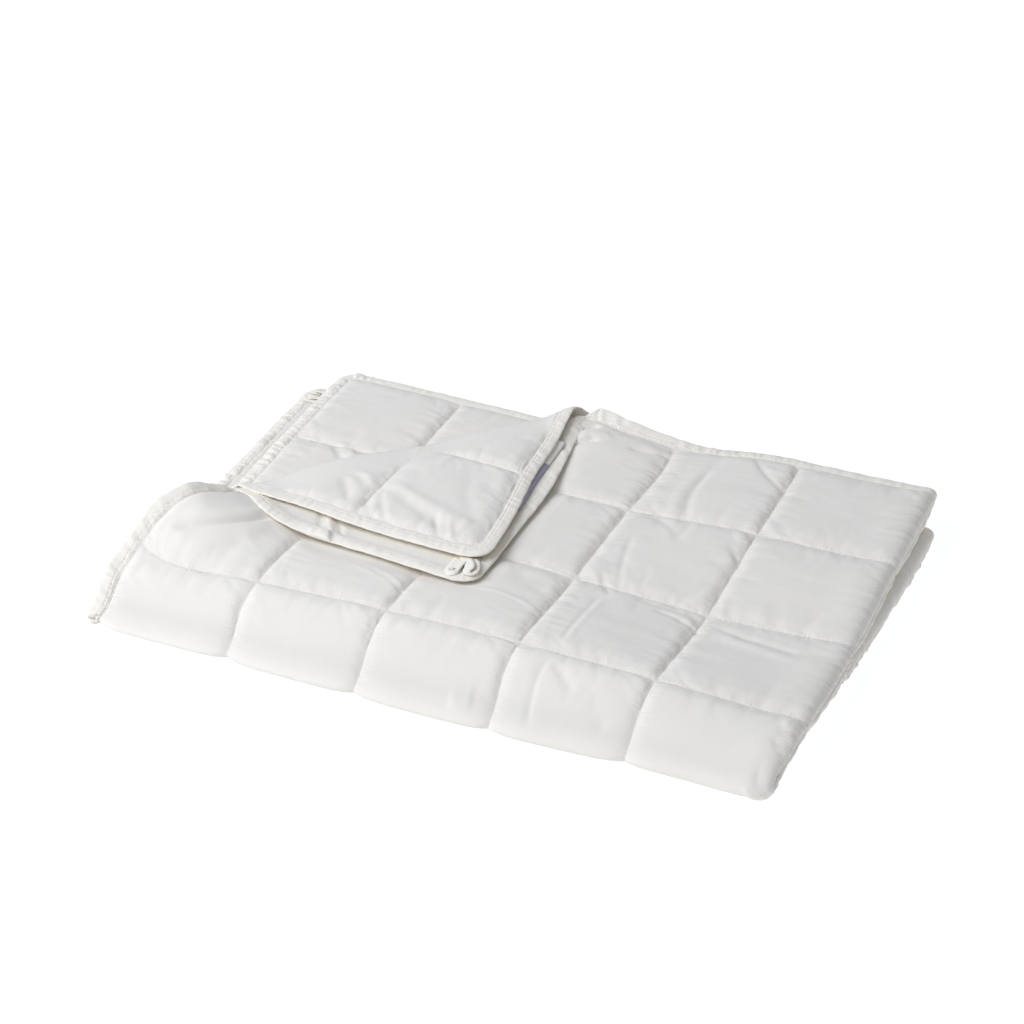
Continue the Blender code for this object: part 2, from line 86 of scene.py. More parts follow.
# %% First fold and second fold
def smooth(value, low, high):
    """0 below low, 1 above high, an even curve between."""
    share = np.clip((value - low) / (high - low), 0.0, 1.0)
    return share * share * (3 - 2 * share)


def hill(*offs):
    """1 in the middle, falling softly to nothing over a unit or two on every side."""
    return np.exp(-sum(off**2 for off in offs))


def between(sizes, inner):
    """A size of the outer layer where inner is 0, and of the inner layer where it is 1."""
    return sizes["outer"] + (sizes["inner"] - sizes["outer"]) * inner


FIRST_CLOTH = 9.5 * MM
FIRST_REACH = 7.5 * MM
FIRST_SLIP_TOP = 5 * MM
FIRST_SLIP_LOW = 12 * MM
SECOND_CLOTH = {"outer": 36 * MM, "inner": 9 * MM}
SECOND_REACH = {"outer": 34 * MM, "inner": 7 * MM}
SECOND_SHIFT = 8 * MM
FOLD_BLEND = 250 * MM
FOLD_LINE_Y = 49 * MM


def first_fold(P, Q, t):
    """Place along the stack, height above the first fold's middle, and 0 to 1 from outer to inner."""
    turn = np.clip(P / FIRST_CLOTH, -1, 1) * math.pi / 2
    slip = FIRST_SLIP_LOW + (FIRST_SLIP_TOP - FIRST_SLIP_LOW) * smooth(Q, -80 * MM, 80 * MM)
    slip = slip * np.sign(P) * smooth(abs(P), FIRST_CLOTH, POCKET)
    straight = FIRST_CLOTH - abs(P) + slip
    x = np.where(abs(P) >= FIRST_CLOTH, straight, (FIRST_REACH + t) * np.cos(turn)) - FIRST_REACH
    height = -(LAYER / 2 + t) * np.sin(turn)
    return x, height, smooth(P, -FOLD_BLEND, FOLD_BLEND)


def second_fold(x, Q, height, inner):
    """Place across the stack, and height above the floor while every layer has its full room."""
    cloth = between(SECOND_CLOTH, inner)
    size = abs(Q + SECOND_SHIFT)
    turn = np.clip((Q + SECOND_SHIFT) / cloth, -1, 1) * math.pi / 2
    reach = between(SECOND_REACH, inner) + height - LAYER * (0.5 - inner)
    reach = reach * (1.06 - 0.06 * smooth(x, -620 * MM, -330 * MM))
    y = np.where(size >= cloth, size - cloth, -reach * np.cos(turn)) + FOLD_LINE_Y
    return y, 2 * LAYER + (LAYER + height) * np.sin(turn)


# %% [markdown]
# The turned corner is the third fold. Its crease runs at about 45 degrees over the two upper layers,
# which bend up together and come to lie upside down on themselves.

# %% The turned corner
CREASE_NORMAL = (-0.692, 0.722)
CREASE_PLACE = 522 * MM
CREASE_CLOTH = {"outer": 6.5 * MM, "inner": 26.5 * MM}
CREASE_REACH = {"outer": 4.2 * MM, "inner": 20 * MM}
CREASE_ENDS = [
    {"along": -335 * MM, "outer": 58 * MM, "inner": 38 * MM, "before": 52 * MM, "beyond": 66 * MM},
    {"along": 118 * MM, "outer": -18 * MM, "inner": -48 * MM, "before": 70 * MM, "beyond": 120 * MM},
]
DRAWN_ALONG = 115 * MM


def crease_distance(x, y):
    """How far a place lies past the crease, towards the back left."""
    return x * CREASE_NORMAL[0] + y * CREASE_NORMAL[1] - CREASE_PLACE


def turn_corner(x, y, w, P, Q):
    """Gives the place, its height, and how far it's turned, 0 to 1."""
    past = crease_distance(x, y)
    inner = np.where(P > 0, 1.0, 0.0)
    cloth = between(CREASE_CLOTH, inner)
    turn = (np.clip(past / (2 * cloth), 0, 1) - 0.5) * math.pi
    radius = 4 * LAYER - w
    reach = between(CREASE_REACH, inner) + radius - LAYER * (0.5 + inner)
    turned = np.where(past > 2 * cloth, 2 * cloth - past, reach * np.cos(turn))
    on = (past > 0) & (Q > 0)
    move = np.where(on, turned - past, 0.0)
    w = np.where(on, 4 * LAYER + radius * np.sin(turn), w)
    along = x * CREASE_NORMAL[1] - y * CREASE_NORMAL[0]
    drawn = 0.0
    for end in CREASE_ENDS:
        across = np.where(past < 0, end["before"], end["beyond"])
        near = hill((along - end["along"]) / DRAWN_ALONG, past / across)
        drawn = drawn + between(end, inner) * near
    drawn = drawn * smooth(Q, 0.0, POCKET / 2)
    x = x + move * CREASE_NORMAL[0] + drawn * CREASE_NORMAL[1]
    y = y + move * CREASE_NORMAL[1] - drawn * CREASE_NORMAL[0]
    return x, y, w, np.where(on, smooth(past, 0.0, 2 * cloth), 0.0)


# %% [markdown]
# ## How the stack settles
# A weighted blanket sinks under its own beads. A table gives the height of the stack at each crossing
# of seams, and a second table gives small moves where the real stack has slipped, sagged or lifted.

# %% Settling
FOOT_X = -305.2 * MM
FOOT_Y = 230.65 * MM
COLUMN_SEAMS_X = [-590 * MM, -472 * MM, -354 * MM, -236 * MM, -118 * MM, 0.0]
HEIGHT_ROWS = [
    {"y": 25 * MM, "share": [0.52, 0.64, 0.70, 0.75, 0.80, 0.75]},
    {"y": 80 * MM, "share": [0.80, 1.20, 1.28, 1.34, 1.32, 1.10]},
    {"y": 198 * MM, "share": [0.85, 1.05, 1.02, 1.03, 0.93, 0.97]},
    {"y": 316 * MM, "share": [1.10, 1.10, 1.12, 1.10, 1.24, 1.25]},
    {"y": 446 * MM, "share": [1.12, 1.12, 1.15, 1.20, 1.36, 1.43]},
]
MOVES = [
    {"of": "all", "x": -260, "y": 81, "wide": 170, "deep": 60, "move": (0, 5, 0)},
    {"of": "all", "x": -60, "y": 161, "wide": 100, "deep": 90, "move": (0, -7, 0)},
    {"of": "all", "x": -600, "y": 15, "wide": 90, "deep": 40, "move": (8, 2, 0)},
    {"of": "all", "x": -300, "y": 8, "wide": 220, "deep": 34, "move": (14, -7, 0)},
    {"of": "all", "x": 0, "y": 15, "wide": 60, "deep": 50, "move": (-8, -4, 0)},
    {"of": "upper", "x": -595, "y": 110, "wide": 75, "deep": 55, "move": (-16, 0, 0)},
    {"of": "upper", "x": -585, "y": 144, "wide": 70, "deep": 50, "move": (0, 0, 38)},
    {"of": "upper", "x": -318, "y": 430, "wide": 42, "deep": 45, "move": (0, 0, 11)},
    {"of": "top sheet", "x": -298, "y": 435, "wide": 40, "deep": 60, "move": (-14, 0, 4)},
    {"of": "upper", "x": -330, "y": 190, "wide": 110, "deep": 80, "move": (0, 0, 4)},
    {"of": "lower", "x": -580, "y": 440, "wide": 230, "deep": 150, "move": (-8, 9, 0)},
    {"of": "turned", "x": -320, "y": 150, "wide": 70, "deep": 60, "move": (6, -5, 0)},
    {"of": "turned inner", "x": -300, "y": 330, "wide": 75, "deep": 85, "move": (-18, 0, 0)},
    {"of": "turned inner", "x": -550, "y": 200, "wide": 45, "deep": 40, "move": (0, -7, -3)},
    {"of": "turned outer", "x": -309, "y": 395, "wide": 70, "deep": 80, "move": (-10, 0, 0)},
    {"of": "top sheet", "x": -228, "y": 430, "wide": 40, "deep": 75, "move": (16, 0, 0)},
    {"of": "upper", "x": -560, "y": 64, "wide": 60, "deep": 32, "move": (0, -8, -3)},
    {"of": "turned inner", "x": -390, "y": 175, "wide": 100, "deep": 45, "move": (0, -10, 0)},
    {"of": "turned outer", "x": -430, "y": 147, "wide": 80, "deep": 30, "move": (0, 4, 0)},
    {"of": "lower", "x": 0, "y": 70, "wide": 60, "deep": 120, "move": (-8, 0, 0)},
    {"of": "all", "x": -470, "y": 5, "wide": 60, "deep": 30, "move": (6, 0, 0)},
]
BACK_SLIP = (-11 * MM, -25 * MM)
LOW_REACH = 8 * MM
FLOOR_SOFT = 0.6 * MM  # the lowest cloth is pressed flat by the floor within this height


def stack_share(x, y):
    """Height of the settled stack at a place, as a share of four full layers."""
    rows = []
    for row in HEIGHT_ROWS:
        share = np.full(np.shape(x), row["share"][0])
        for k in range(1, len(COLUMN_SEAMS_X)):
            rise = row["share"][k] - row["share"][k - 1]
            share = share + rise * smooth(x, COLUMN_SEAMS_X[k - 1], COLUMN_SEAMS_X[k])
        rows.append(share)
    share = rows[0]
    for k in range(1, len(rows)):
        step = smooth(y, HEIGHT_ROWS[k - 1]["y"], HEIGHT_ROWS[k]["y"])
        share = share + (rows[k] - rows[k - 1]) * step
    return share


def settle(x, y, w, turned, P, Q):
    """The folded stack sinks, slips and lifts a little where the real one does."""
    right = smooth(x, -170 * MM, 0.0) * smooth(y, 110 * MM, 430 * MM)
    move = np.stack([np.where(Q > 0, 0.0, LOW_REACH), np.where(Q > 0, *BACK_SLIP), 0.0 * x]) * right
    parts = {"all": 1.0, "upper": 1.0 * (Q > 0), "lower": smooth(-Q, 10 * MM, 60 * MM), "turned": turned}
    parts["top sheet"] = (1 - turned) * (P < 0) * (Q > 0)
    parts["turned inner"] = turned * (P > 0)
    parts["turned outer"] = turned * (P < 0)
    for row in MOVES:
        near = hill((x / MM - row["x"]) / row["wide"], (y / MM - row["y"]) / row["deep"])
        share = near * parts[row["of"]]
        move = move + np.stack([step * share for step in row["move"]]) * MM
    spot = np.stack([x - FOOT_X, y - FOOT_Y, w * stack_share(x, y)]) + move
    pressed = FLOOR_SOFT * np.exp(np.minimum(spot[2] / FLOOR_SOFT, 1.0) - 1)
    spot[2] = np.where(spot[2] < FLOOR_SOFT, pressed, spot[2])
    return np.moveaxis(spot, 0, -1)


# %% The bound edge curls up a little
CURLS = [  # from the flat edge: which edge, where along it, over what length, and how steeply
    {"edge": "left", "at": 80, "over": 85, "slope": 0.35},
    {"edge": "back", "at": -280, "over": 50, "slope": 0.7},
    {"edge": "turned", "at": 440, "over": 110, "slope": -0.12},
]


def edge_distance(P, Q):
    """How far a flat place lies inside the blanket's outline, with its round corners."""
    past_p = abs(P) - (HALF_LENGTH - CORNER_RADIUS)
    past_q = abs(Q) - (HALF_WIDTH - CORNER_RADIUS)
    round_corner = CORNER_RADIUS - np.hypot(np.maximum(past_p, 0), np.maximum(past_q, 0))
    return np.where((past_p > 0) & (past_q > 0), round_corner, CORNER_RADIUS - np.maximum(past_p, past_q))


def by_edge(across, half):
    """1 within 20 mm of the edge at this distance from the middle, and 0 from 40 mm inwards."""
    return smooth(across, half - 40 * MM, half - 20 * MM)


def edge_curl(P, Q):
    """How far the bound edge stands off the flat cloth, towards its outer face."""
    past = np.maximum(BINDING_WIDTH + 1.5 * MM - edge_distance(P, Q), 0.0)
    at_left = by_edge(-P, HALF_LENGTH)
    at_back = by_edge(Q, HALF_WIDTH)
    sides = {"left": (at_left, Q), "back": (at_back * (P < 0), P), "turned": (at_back * (P > 0), P)}
    slope = 0.0
    for row in CURLS:
        on, along = sides[row["edge"]]
        slope = slope + row["slope"] * on * hill((along / MM - row["at"]) / row["over"])
    return slope * past


# %% One map from flat cloth to the folded blanket
def folded(P, Q, t):
    """A flat place carried through the three folds, before it settles."""
    x, height, inner = first_fold(P, Q, t)
    y, w = second_fold(x, Q, height, inner)
    return turn_corner(x, y, w, P, Q)


def place(P, Q, t):
    """A flat place with t in real size, carried to its place in the folded blanket."""
    x, y = folded(P, Q, np.zeros(np.shape(P)))[:2]
    t = (t + edge_curl(P, Q)) / stack_share(x, y)
    return settle(*folded(P, Q, t), P, Q)


def layer_share(P, Q):
    """How much the stack has settled at a flat place."""
    x, y = folded(P, Q, np.zeros(np.shape(P)))[:2]
    return stack_share(x, y)


print("the middle of the upper layer lies at", place(np.array([-0.3]), np.array([0.2]), np.array([0.0]))[0])

# %% [markdown]
# ## Random, but the same each time
# Cloth is never even. A table of seeded random numbers, read with soft steps between its entries, gives
# gentle hills of about one unit across, which are the same whenever the script runs.


# %% Soft noise
def noise(x, y, seed):
    """Soft random hills of about one unit across, from -1 to 1."""
    hills = np.random.default_rng(seed).uniform(-1, 1, (64, 64))
    i, j = np.floor(x).astype(int), np.floor(y).astype(int)
    u, v = smooth(x - i, 0, 1), smooth(y - j, 0, 1)
    low = hills[i % 64, j % 64] * (1 - u) + hills[(i + 1) % 64, j % 64] * u
    high = hills[i % 64, (j + 1) % 64] * (1 - u) + hills[(i + 1) % 64, (j + 1) % 64] * u
    return low * (1 - v) + high * v


# %% [markdown]
# ## Pockets, blown up by simulation
# A sewn pocket gets its look from two things: the filling pushes the cloth up, and the thread draws the
# seam shorter than the cloth beside it, which makes the cloth pucker. Both could be sculpted, but Blender's
# Cloth does them together. A flat sheet of four pockets is pinned along its seams, its cloth
# grows by a few percent, most beside the column seams, and pressure lifts it. The wrinkles of the four
# pockets that come out are then used over the whole blanket, mirrored four ways.

# %% Cloth simulation of four pockets
PATCH = 2
PATCH_CELLS = 60


def simulate_pockets():
    """Four pockets as moves of the cloth, [pocket, along, across, x y z], in metres."""
    count = PATCH * PATCH_CELLS
    bm = bmesh.new()
    bmesh.ops.create_grid(bm, x_segments=count, y_segments=count, size=PATCH * POCKET / 2)
    bmesh.ops.translate(bm, verts=bm.verts, vec=(PATCH * POCKET / 2, PATCH * POCKET / 2, 0))
    mesh = bpy.data.meshes.new("pocket trial")
    bm.to_mesh(mesh)
    bm.free()
    trial = bpy.data.objects.new("pocket trial", mesh)
    bpy.context.collection.objects.link(trial)
    flat = np.empty(len(mesh.vertices) * 3, np.float32)
    mesh.vertices.foreach_get("co", flat)
    flat = flat.reshape(-1, 3).astype(float)
    cell = POCKET / PATCH_CELLS
    from_seam = np.abs((flat[:, :2] + POCKET / 2) % POCKET - POCKET / 2).min(axis=1)
    pins = trial.vertex_groups.new(name="seams")
    pins.add(np.flatnonzero(from_seam < cell / 2).tolist(), 1.0, "REPLACE")
    grown = trial.vertex_groups.new(name="beside seams")
    from_column = np.abs((flat[:, 0] + POCKET / 2) % POCKET - POCKET / 2)
    for k, share in enumerate(np.exp(-from_column / (12 * MM))):
        grown.add([k], float(share), "REPLACE")
    start = flat.copy()
    start[:, 2] = 0.4 * MM * noise(flat[:, 0] / (9 * MM), flat[:, 1] / (9 * MM), 3) * (from_seam > cell / 2)
    mesh.vertices.foreach_set("co", start.astype(np.float32).ravel())
    cloth = trial.modifiers.new("Cloth", "CLOTH")
    settings = cloth.settings
    settings.quality = 6
    settings.mass = 0.2
    settings.tension_stiffness = settings.compression_stiffness = 40
    settings.shear_stiffness = 15
    settings.bending_stiffness = 0.15
    settings.tension_damping = settings.compression_damping = settings.shear_damping = 20
    settings.vertex_group_mass = pins.name
    settings.pin_stiffness = 1
    settings.vertex_group_shrink = grown.name
    settings.shrink_min = -0.012
    settings.shrink_max = -0.045
    settings.use_pressure = True
    settings.uniform_pressure_force = 4
    settings.effector_weights.gravity = 0
    cloth.collision_settings.use_collision = False
    for number in range(1, 26):
        bpy.context.scene.frame_set(number)
    ready = trial.evaluated_get(bpy.context.evaluated_depsgraph_get())
    raised = np.empty(len(mesh.vertices) * 3, np.float32)
    ready.data.vertices.foreach_get("co", raised)
    moved = raised.reshape(-1, 3) - flat
    bpy.context.scene.frame_set(1)
    bpy.data.objects.remove(trial)
    column = np.round(flat[:, 0] / cell).astype(int)
    row = np.round(flat[:, 1] / cell).astype(int)
    whole = np.zeros((count + 1, count + 1, 3))
    whole[column, row] = moved
    pockets = []
    for a in range(PATCH):
        for b in range(PATCH):
            i, j = a * PATCH_CELLS, b * PATCH_CELLS
            pockets.append(whole[i : i + PATCH_CELLS + 1, j : j + PATCH_CELLS + 1])
    return np.stack(pockets)


WRINKLE_SHARE = 0.6  # heavy beads pull the cloth a little smoother than air pressure leaves it
pockets = simulate_pockets()
middle_height = pockets[:, PATCH_CELLS // 2, PATCH_CELLS // 2, 2].mean()
heights = pockets[..., 2]
four_ways = heights + heights[:, ::-1] + heights[:, :, ::-1] + heights[:, ::-1, ::-1]
pockets[..., 2] -= four_ways.mean(axis=0) / 4
pockets *= WRINKLE_SHARE
highest = abs(pockets[..., 2]).max()
print(f"pockets stand {middle_height / MM:.1f} mm high, with wrinkles of up to {highest / MM:.1f} mm")


# %% [markdown]
# What is kept of the simulation is its wrinkles: how each pocket differs from the even pillow that all
# of them share. The pillow itself is a formula, because beads fill a pocket right into its corners, as
# air doesn't. Every pocket of the blanket takes the wrinkles of one of the four, mirrored by its place in
# the row, so that no two neighbours are alike.

# %% Reading the pockets
def pocket_move(P, Q):
    """The simulated wrinkles at a flat place, in metres: sideways along P and Q, and up."""
    i, j = np.floor(P / POCKET), np.floor(Q / POCKET - 0.5)
    u, v = P / POCKET - i, Q / POCKET - 0.5 - j
    which = ((i * 2 + j * 5) % (PATCH * PATCH)).astype(int)
    turn_u, turn_v = (i + 2 * j) % 3 == 0, (2 * i + j) % 4 < 2
    u, v = np.where(turn_u, 1 - u, u) * PATCH_CELLS, np.where(turn_v, 1 - v, v) * PATCH_CELLS
    a = np.clip(np.floor(u).astype(int), 0, PATCH_CELLS - 1)
    b = np.clip(np.floor(v).astype(int), 0, PATCH_CELLS - 1)
    u, v = (u - a)[..., None], (v - b)[..., None]
    low = pockets[which, a, b] * (1 - u) + pockets[which, a + 1, b] * u
    high = pockets[which, a, b + 1] * (1 - u) + pockets[which, a + 1, b + 1] * u
    move = low * (1 - v) + high * v
    along = np.where(turn_u, -1, 1) * move[..., 0]
    across = np.where(turn_v, -1, 1) * move[..., 1]
    return along, across, move[..., 2]


def seam_distances(P, Q):
    """Signed distance to the nearest column seam and to the nearest row seam, and the number of each."""
    column, row = np.round(P / POCKET), np.round(Q / POCKET - 0.5)
    return P - column * POCKET, Q - (row + 0.5) * POCKET, column, row


# %% [markdown]
# ## What is added
# The finest puckers stand at a right angle to the seams, a few millimetres apart. They are drawn with
# noise that is long across the seam and short along it. Wider folds, and the creases that a blanket keeps
# from lying folded, are laid in one by one, one row of a table for each.


# %% Puckers beside the seams
def puckers(P, Q):
    """Small ridges that run off the seams, in metres."""
    off_column, off_row, column, row = seam_distances(P, Q)
    rise = 0.0
    fold = (column == 0) & (P < 0)
    for off, number, along, size, seed in (
        (off_column, column, Q - 0.6 * P * fold, (1.0 + 0.5 * fold) * MM, 21),
        (off_row, row, P, 0.35 * MM, 22),
    ):
        from_seam = abs(off)
        reach = np.where(fold & (seed == 21), 15 * MM, 7 * MM)
        ridges = noise(along / (2.7 * MM), number * 9.3 + off / (14 * MM), seed)
        ridges = ridges + 0.6 * noise(along / (8 * MM), number * 5.1 + off / (30 * MM), seed + 5)
        strength = 0.55 + 0.45 * noise(along / (45 * MM), number * 3.7, seed + 9)
        rise = rise + size * strength * ridges * np.exp(-from_seam / reach) * smooth(from_seam, 0, 2.0 * MM)
    return rise


def streaks(P, Q):
    """Faint long waves that the cloth keeps from its loom and its folding, in metres."""
    fine = noise(P / (30 * MM), Q / (4.5 * MM) + P / (60 * MM), 41)
    broad = noise(P / (34 * MM) + 7, Q / (15 * MM), 42)
    return 0.1 * MM * fine + 0.35 * MM * broad


# %% Creases and soft folds
CREASES = [  # millimetres in the flat blanket: from, to, how far it bows, half its width, how high it stands
    # long creases from an earlier folding, in the second column from the right fold
    {"from": (-205, 160), "to": (-205, 70), "bow": 1, "wide": 1.8, "rise": -0.8},
    {"from": (-200, 160), "to": (-200, 70), "bow": 1, "wide": 2.2, "rise": 0.4},
    {"from": (-205, 50), "to": (-205, 5), "bow": 2, "wide": 2.2, "rise": -0.6},
    {"from": (-215, 80), "to": (-200, 65), "bow": 1, "wide": 2.0, "rise": -0.6},
    # a tuck beside a seam crossing, and the fold that goes on from it
    {"from": (-160, 160), "to": (-110, 145), "bow": -4, "wide": 2.6, "rise": -1.5},
    {"from": (-175, 170), "to": (-115, 165), "bow": 0, "wide": 4.0, "rise": -0.8},
    {"from": (-110, 160), "to": (-30, 145), "bow": 0, "wide": 3.5, "rise": -1.3},
    {"from": (-100, 150), "to": (-30, 135), "bow": 1, "wide": 5.0, "rise": 1.1},
    # fine lines in front of the turned corner
    {"from": (-320, 115), "to": (-235, 105), "bow": -9, "wide": 1.6, "rise": 0.7},
    {"from": (-415, 120), "to": (-345, 85), "bow": -5, "wide": 1.5, "rise": 0.6},
    {"from": (-415, 110), "to": (-345, 75), "bow": -5, "wide": 1.5, "rise": 0.5},
    # the soft sag at the left end, where the turned corner pulls
    {"from": (-570, 75), "to": (-510, 130), "bow": 8, "wide": 2.6, "rise": -3.4},
    {"from": (-570, 85), "to": (-520, 135), "bow": 8, "wide": 8.0, "rise": 2.4},
    {"from": (-565, 70), "to": (-500, 115), "bow": 10, "wide": 8.0, "rise": 1.8},
    {"from": (-525, 55), "to": (-505, 100), "bow": 0, "wide": 9.0, "rise": -1.3},
    # soft folds on the back rows
    {"from": (-160, 410), "to": (-110, 360), "bow": 5, "wide": 3.0, "rise": -1.3},
    {"from": (-195, 380), "to": (-180, 290), "bow": 7, "wide": 4.0, "rise": -1.4},
    {"from": (-205, 380), "to": (-190, 285), "bow": 8, "wide": 6.0, "rise": 0.9},
    {"from": (-215, 255), "to": (-195, 170), "bow": 2, "wide": 3.0, "rise": -1.0},
    {"from": (-220, 195), "to": (-200, 165), "bow": 1, "wide": 3.0, "rise": -0.9},
    {"from": (-310, 385), "to": (-280, 405), "bow": -2, "wide": 2.4, "rise": -4.2},
    {"from": (-300, 380), "to": (-270, 395), "bow": -2, "wide": 4.0, "rise": 1.6},
    {"from": (-310, 365), "to": (-280, 385), "bow": -2, "wide": 2.6, "rise": -3.8},
    {"from": (-260, 385), "to": (-235, 395), "bow": 0, "wide": 2.4, "rise": -2.4},
    {"from": (-220, 290), "to": (-180, 265), "bow": -5, "wide": 4.0, "rise": -0.9},
    {"from": (-175, 290), "to": (-180, 255), "bow": -1, "wide": 4.0, "rise": -0.9},
    {"from": (-135, 270), "to": (-110, 235), "bow": -1, "wide": 3.0, "rise": -1.0},
    # small folds in the near row
    {"from": (-205, 40), "to": (-205, 5), "bow": 3, "wide": 4.0, "rise": -0.5},
    {"from": (-200, 45), "to": (-175, 25), "bow": -1, "wide": 4.0, "rise": -1.0},
    {"from": (-275, 10), "to": (-255, 15), "bow": 2, "wide": 6.0, "rise": 1.0},
    {"from": (-160, 25), "to": (-140, 10), "bow": -1, "wide": 6.0, "rise": -0.6},
    # folds on the turned corner
    {"from": (550, 255), "to": (585, 285), "bow": -1, "wide": 5.0, "rise": -1.3},
    {"from": (535, 250), "to": (555, 295), "bow": -5, "wide": 4.0, "rise": 0.9},
    {"from": (545, 250), "to": (560, 285), "bow": -6, "wide": 4.0, "rise": -0.8},
    {"from": (555, 300), "to": (600, 340), "bow": 3, "wide": 3.5, "rise": -1.3},
    {"from": (565, 290), "to": (595, 320), "bow": 2, "wide": 3.0, "rise": -0.9},
    {"from": (540, 300), "to": (570, 405), "bow": 3, "wide": 6.0, "rise": 1.3},
    {"from": (555, 315), "to": (585, 405), "bow": 2, "wide": 6.0, "rise": -1.3},
    {"from": (490, 365), "to": (565, 400), "bow": 8, "wide": 7.0, "rise": -0.7},
    {"from": (565, 360), "to": (595, 380), "bow": 0, "wide": 3.0, "rise": -1.6},
    {"from": (565, 375), "to": (595, 395), "bow": 2, "wide": 3.0, "rise": 1.0},
    {"from": (575, 200), "to": (590, 225), "bow": 4, "wide": 3.0, "rise": -0.8},
    # the near right corner, where two folds meet and crumple
    {"from": (0, -20), "to": (-15, 10), "bow": 1, "wide": 2.4, "rise": -0.9},
    {"from": (-5, -25), "to": (-20, 0), "bow": 1, "wide": 3.0, "rise": 0.7},
    {"from": (0, 0), "to": (-15, 30), "bow": 2, "wide": 2.6, "rise": -0.9},
    {"from": (0, 20), "to": (-15, 50), "bow": 1, "wide": 2.6, "rise": 0.7},
    # a pucker on the layer that the turned corner uncovers
    {"from": (545, -300), "to": (520, -280), "bow": -3, "wide": 5.0, "rise": 1.6},
    {"from": (545, -290), "to": (525, -270), "bow": 0, "wide": 4.0, "rise": -1.6},
]
UNDER_CREASES = [  # the tuck on the inner face, in the strip that the turned corner shows
    {"from": (-550, 250), "to": (-600, 290), "bow": 4, "wide": 3.0, "rise": 1.5},
    {"from": (-555, 265), "to": (-600, 300), "bow": 4, "wide": 2.5, "rise": -1.2},
    {"from": (-550, 240), "to": (-595, 275), "bow": 4, "wide": 3.0, "rise": -1.0},
]


def creases(P, Q, table):
    """The folds and creases of a table, in metres."""
    rise = 0.0
    for row in table:
        start, end = np.array(row["from"]) * MM, np.array(row["to"]) * MM
        run = end - start
        length = np.hypot(*run)
        share = ((P - start[0]) * run[0] + (Q - start[1]) * run[1]) / length**2
        off = ((P - start[0]) * run[1] - (Q - start[1]) * run[0]) / length
        off = off - row["bow"] * MM * 4 * share * (1 - share)
        fade = smooth(share, -0.05, 0.2) * (1 - smooth(share, 0.8, 1.05))
        rise = rise + row["rise"] * MM * fade * hill(off / (row["wide"] * MM))
    return rise


# %% [markdown]
# ## Thickness
# Where other layers lie on the cloth it is pressed to the room between them. Where nothing lies on it,
# the pocket stands up as an even pillow with its simulated wrinkles. Under the stack it lies flat on the
# floor.


# %% Half thickness
CROWN_POWER = 2.6
CROWN_SIDES = 0.72  # how high a pocket stands once it has rounded over, as a share of its middle
CROWN_MIDDLE = 0.28  # and the rest of its height
COLUMN_ROUND = 13 * MM  # how far from a seam the pocket is still rounding down to it
ROW_ROUND = 18 * MM
FLOOR_ROUND = 14 * MM
ROW_SEAM_HALF = 1.9 * MM  # the rows are sewn last and less tightly than the columns
FOLD_SEAM_HALF = 2.4 * MM  # and the seam in the right fold is stretched open
BINDING_MEETS = 1.75 * MM
NEAR_FOLD_WIDE = 34 * MM  # the cloth is drawn taut over the near fold
NEAR_FOLD_SEAM = 2.2 * MM
NEAR_FOLD_CROWN = 5.4 * MM
NEAR_FOLD_POWER = 6
NEAR_FOLD_RIDGES = 0.6  # the share of the puckers that is left there
RIGHT_FOLD_FULL_AT = 17 * MM  # the cloth stands full beside the right fold
RIGHT_FOLD_WIDE = 15 * MM
RIGHT_FOLD_SHOWS = 30 * MM
RIGHT_FOLD_FULL = {"above": 2.0 * MM, "below": 4.5 * MM}


def open_share(P, Q):
    """1 where nothing lies on the blanket's outer face, 0 where another layer does."""
    x, height, inner = first_fold(P, Q, np.zeros(np.shape(P)))
    y, _ = second_fold(x, Q, height, inner)
    past = crease_distance(x, y)
    front = 138 * MM + 34 * MM * smooth(-x, 430 * MM, 550 * MM)
    under_corner = (1 - smooth(x, -316 * MM, -292 * MM)) * smooth(y - front, -14 * MM, 8 * MM)
    outer_top = (1 - under_corner) * smooth(Q + SECOND_SHIFT, -20 * MM, 0.0)
    turned_over = smooth(past, 60 * MM, 85 * MM)
    inner_low = smooth(past, 20 * MM, 45 * MM)
    return np.where(P < 0, outer_top, np.where(Q > 0, turned_over, inner_low))


def seam_half(P, Q):
    """Half thickness of the open cloth at its seams."""
    off_column, off_row, column, _ = seam_distances(P, Q)
    at_column = np.where(column == 0, FOLD_SEAM_HALF, SEAM_HALF)
    return at_column + (ROW_SEAM_HALF - at_column) * smooth(abs(off_column), 0, 22 * MM)


def rounded(off, reach, power):
    """0 on a seam and 1 from this reach on: the higher the power, the steeper the side."""
    return 1 - (1 - np.minimum(abs(off) / reach, 1)) ** power


def covered_half(P, Q):
    """Half thickness where another layer presses the cloth to the room that is left."""
    off_column, off_row, _, _ = seam_distances(P, Q)
    room = ROOM * layer_share(P, Q) - SEAM_HALF
    room = room * rounded(off_column, POCKET / 2, CROWN_POWER)
    return SEAM_HALF + room * rounded(off_row, POCKET / 2, CROWN_POWER)


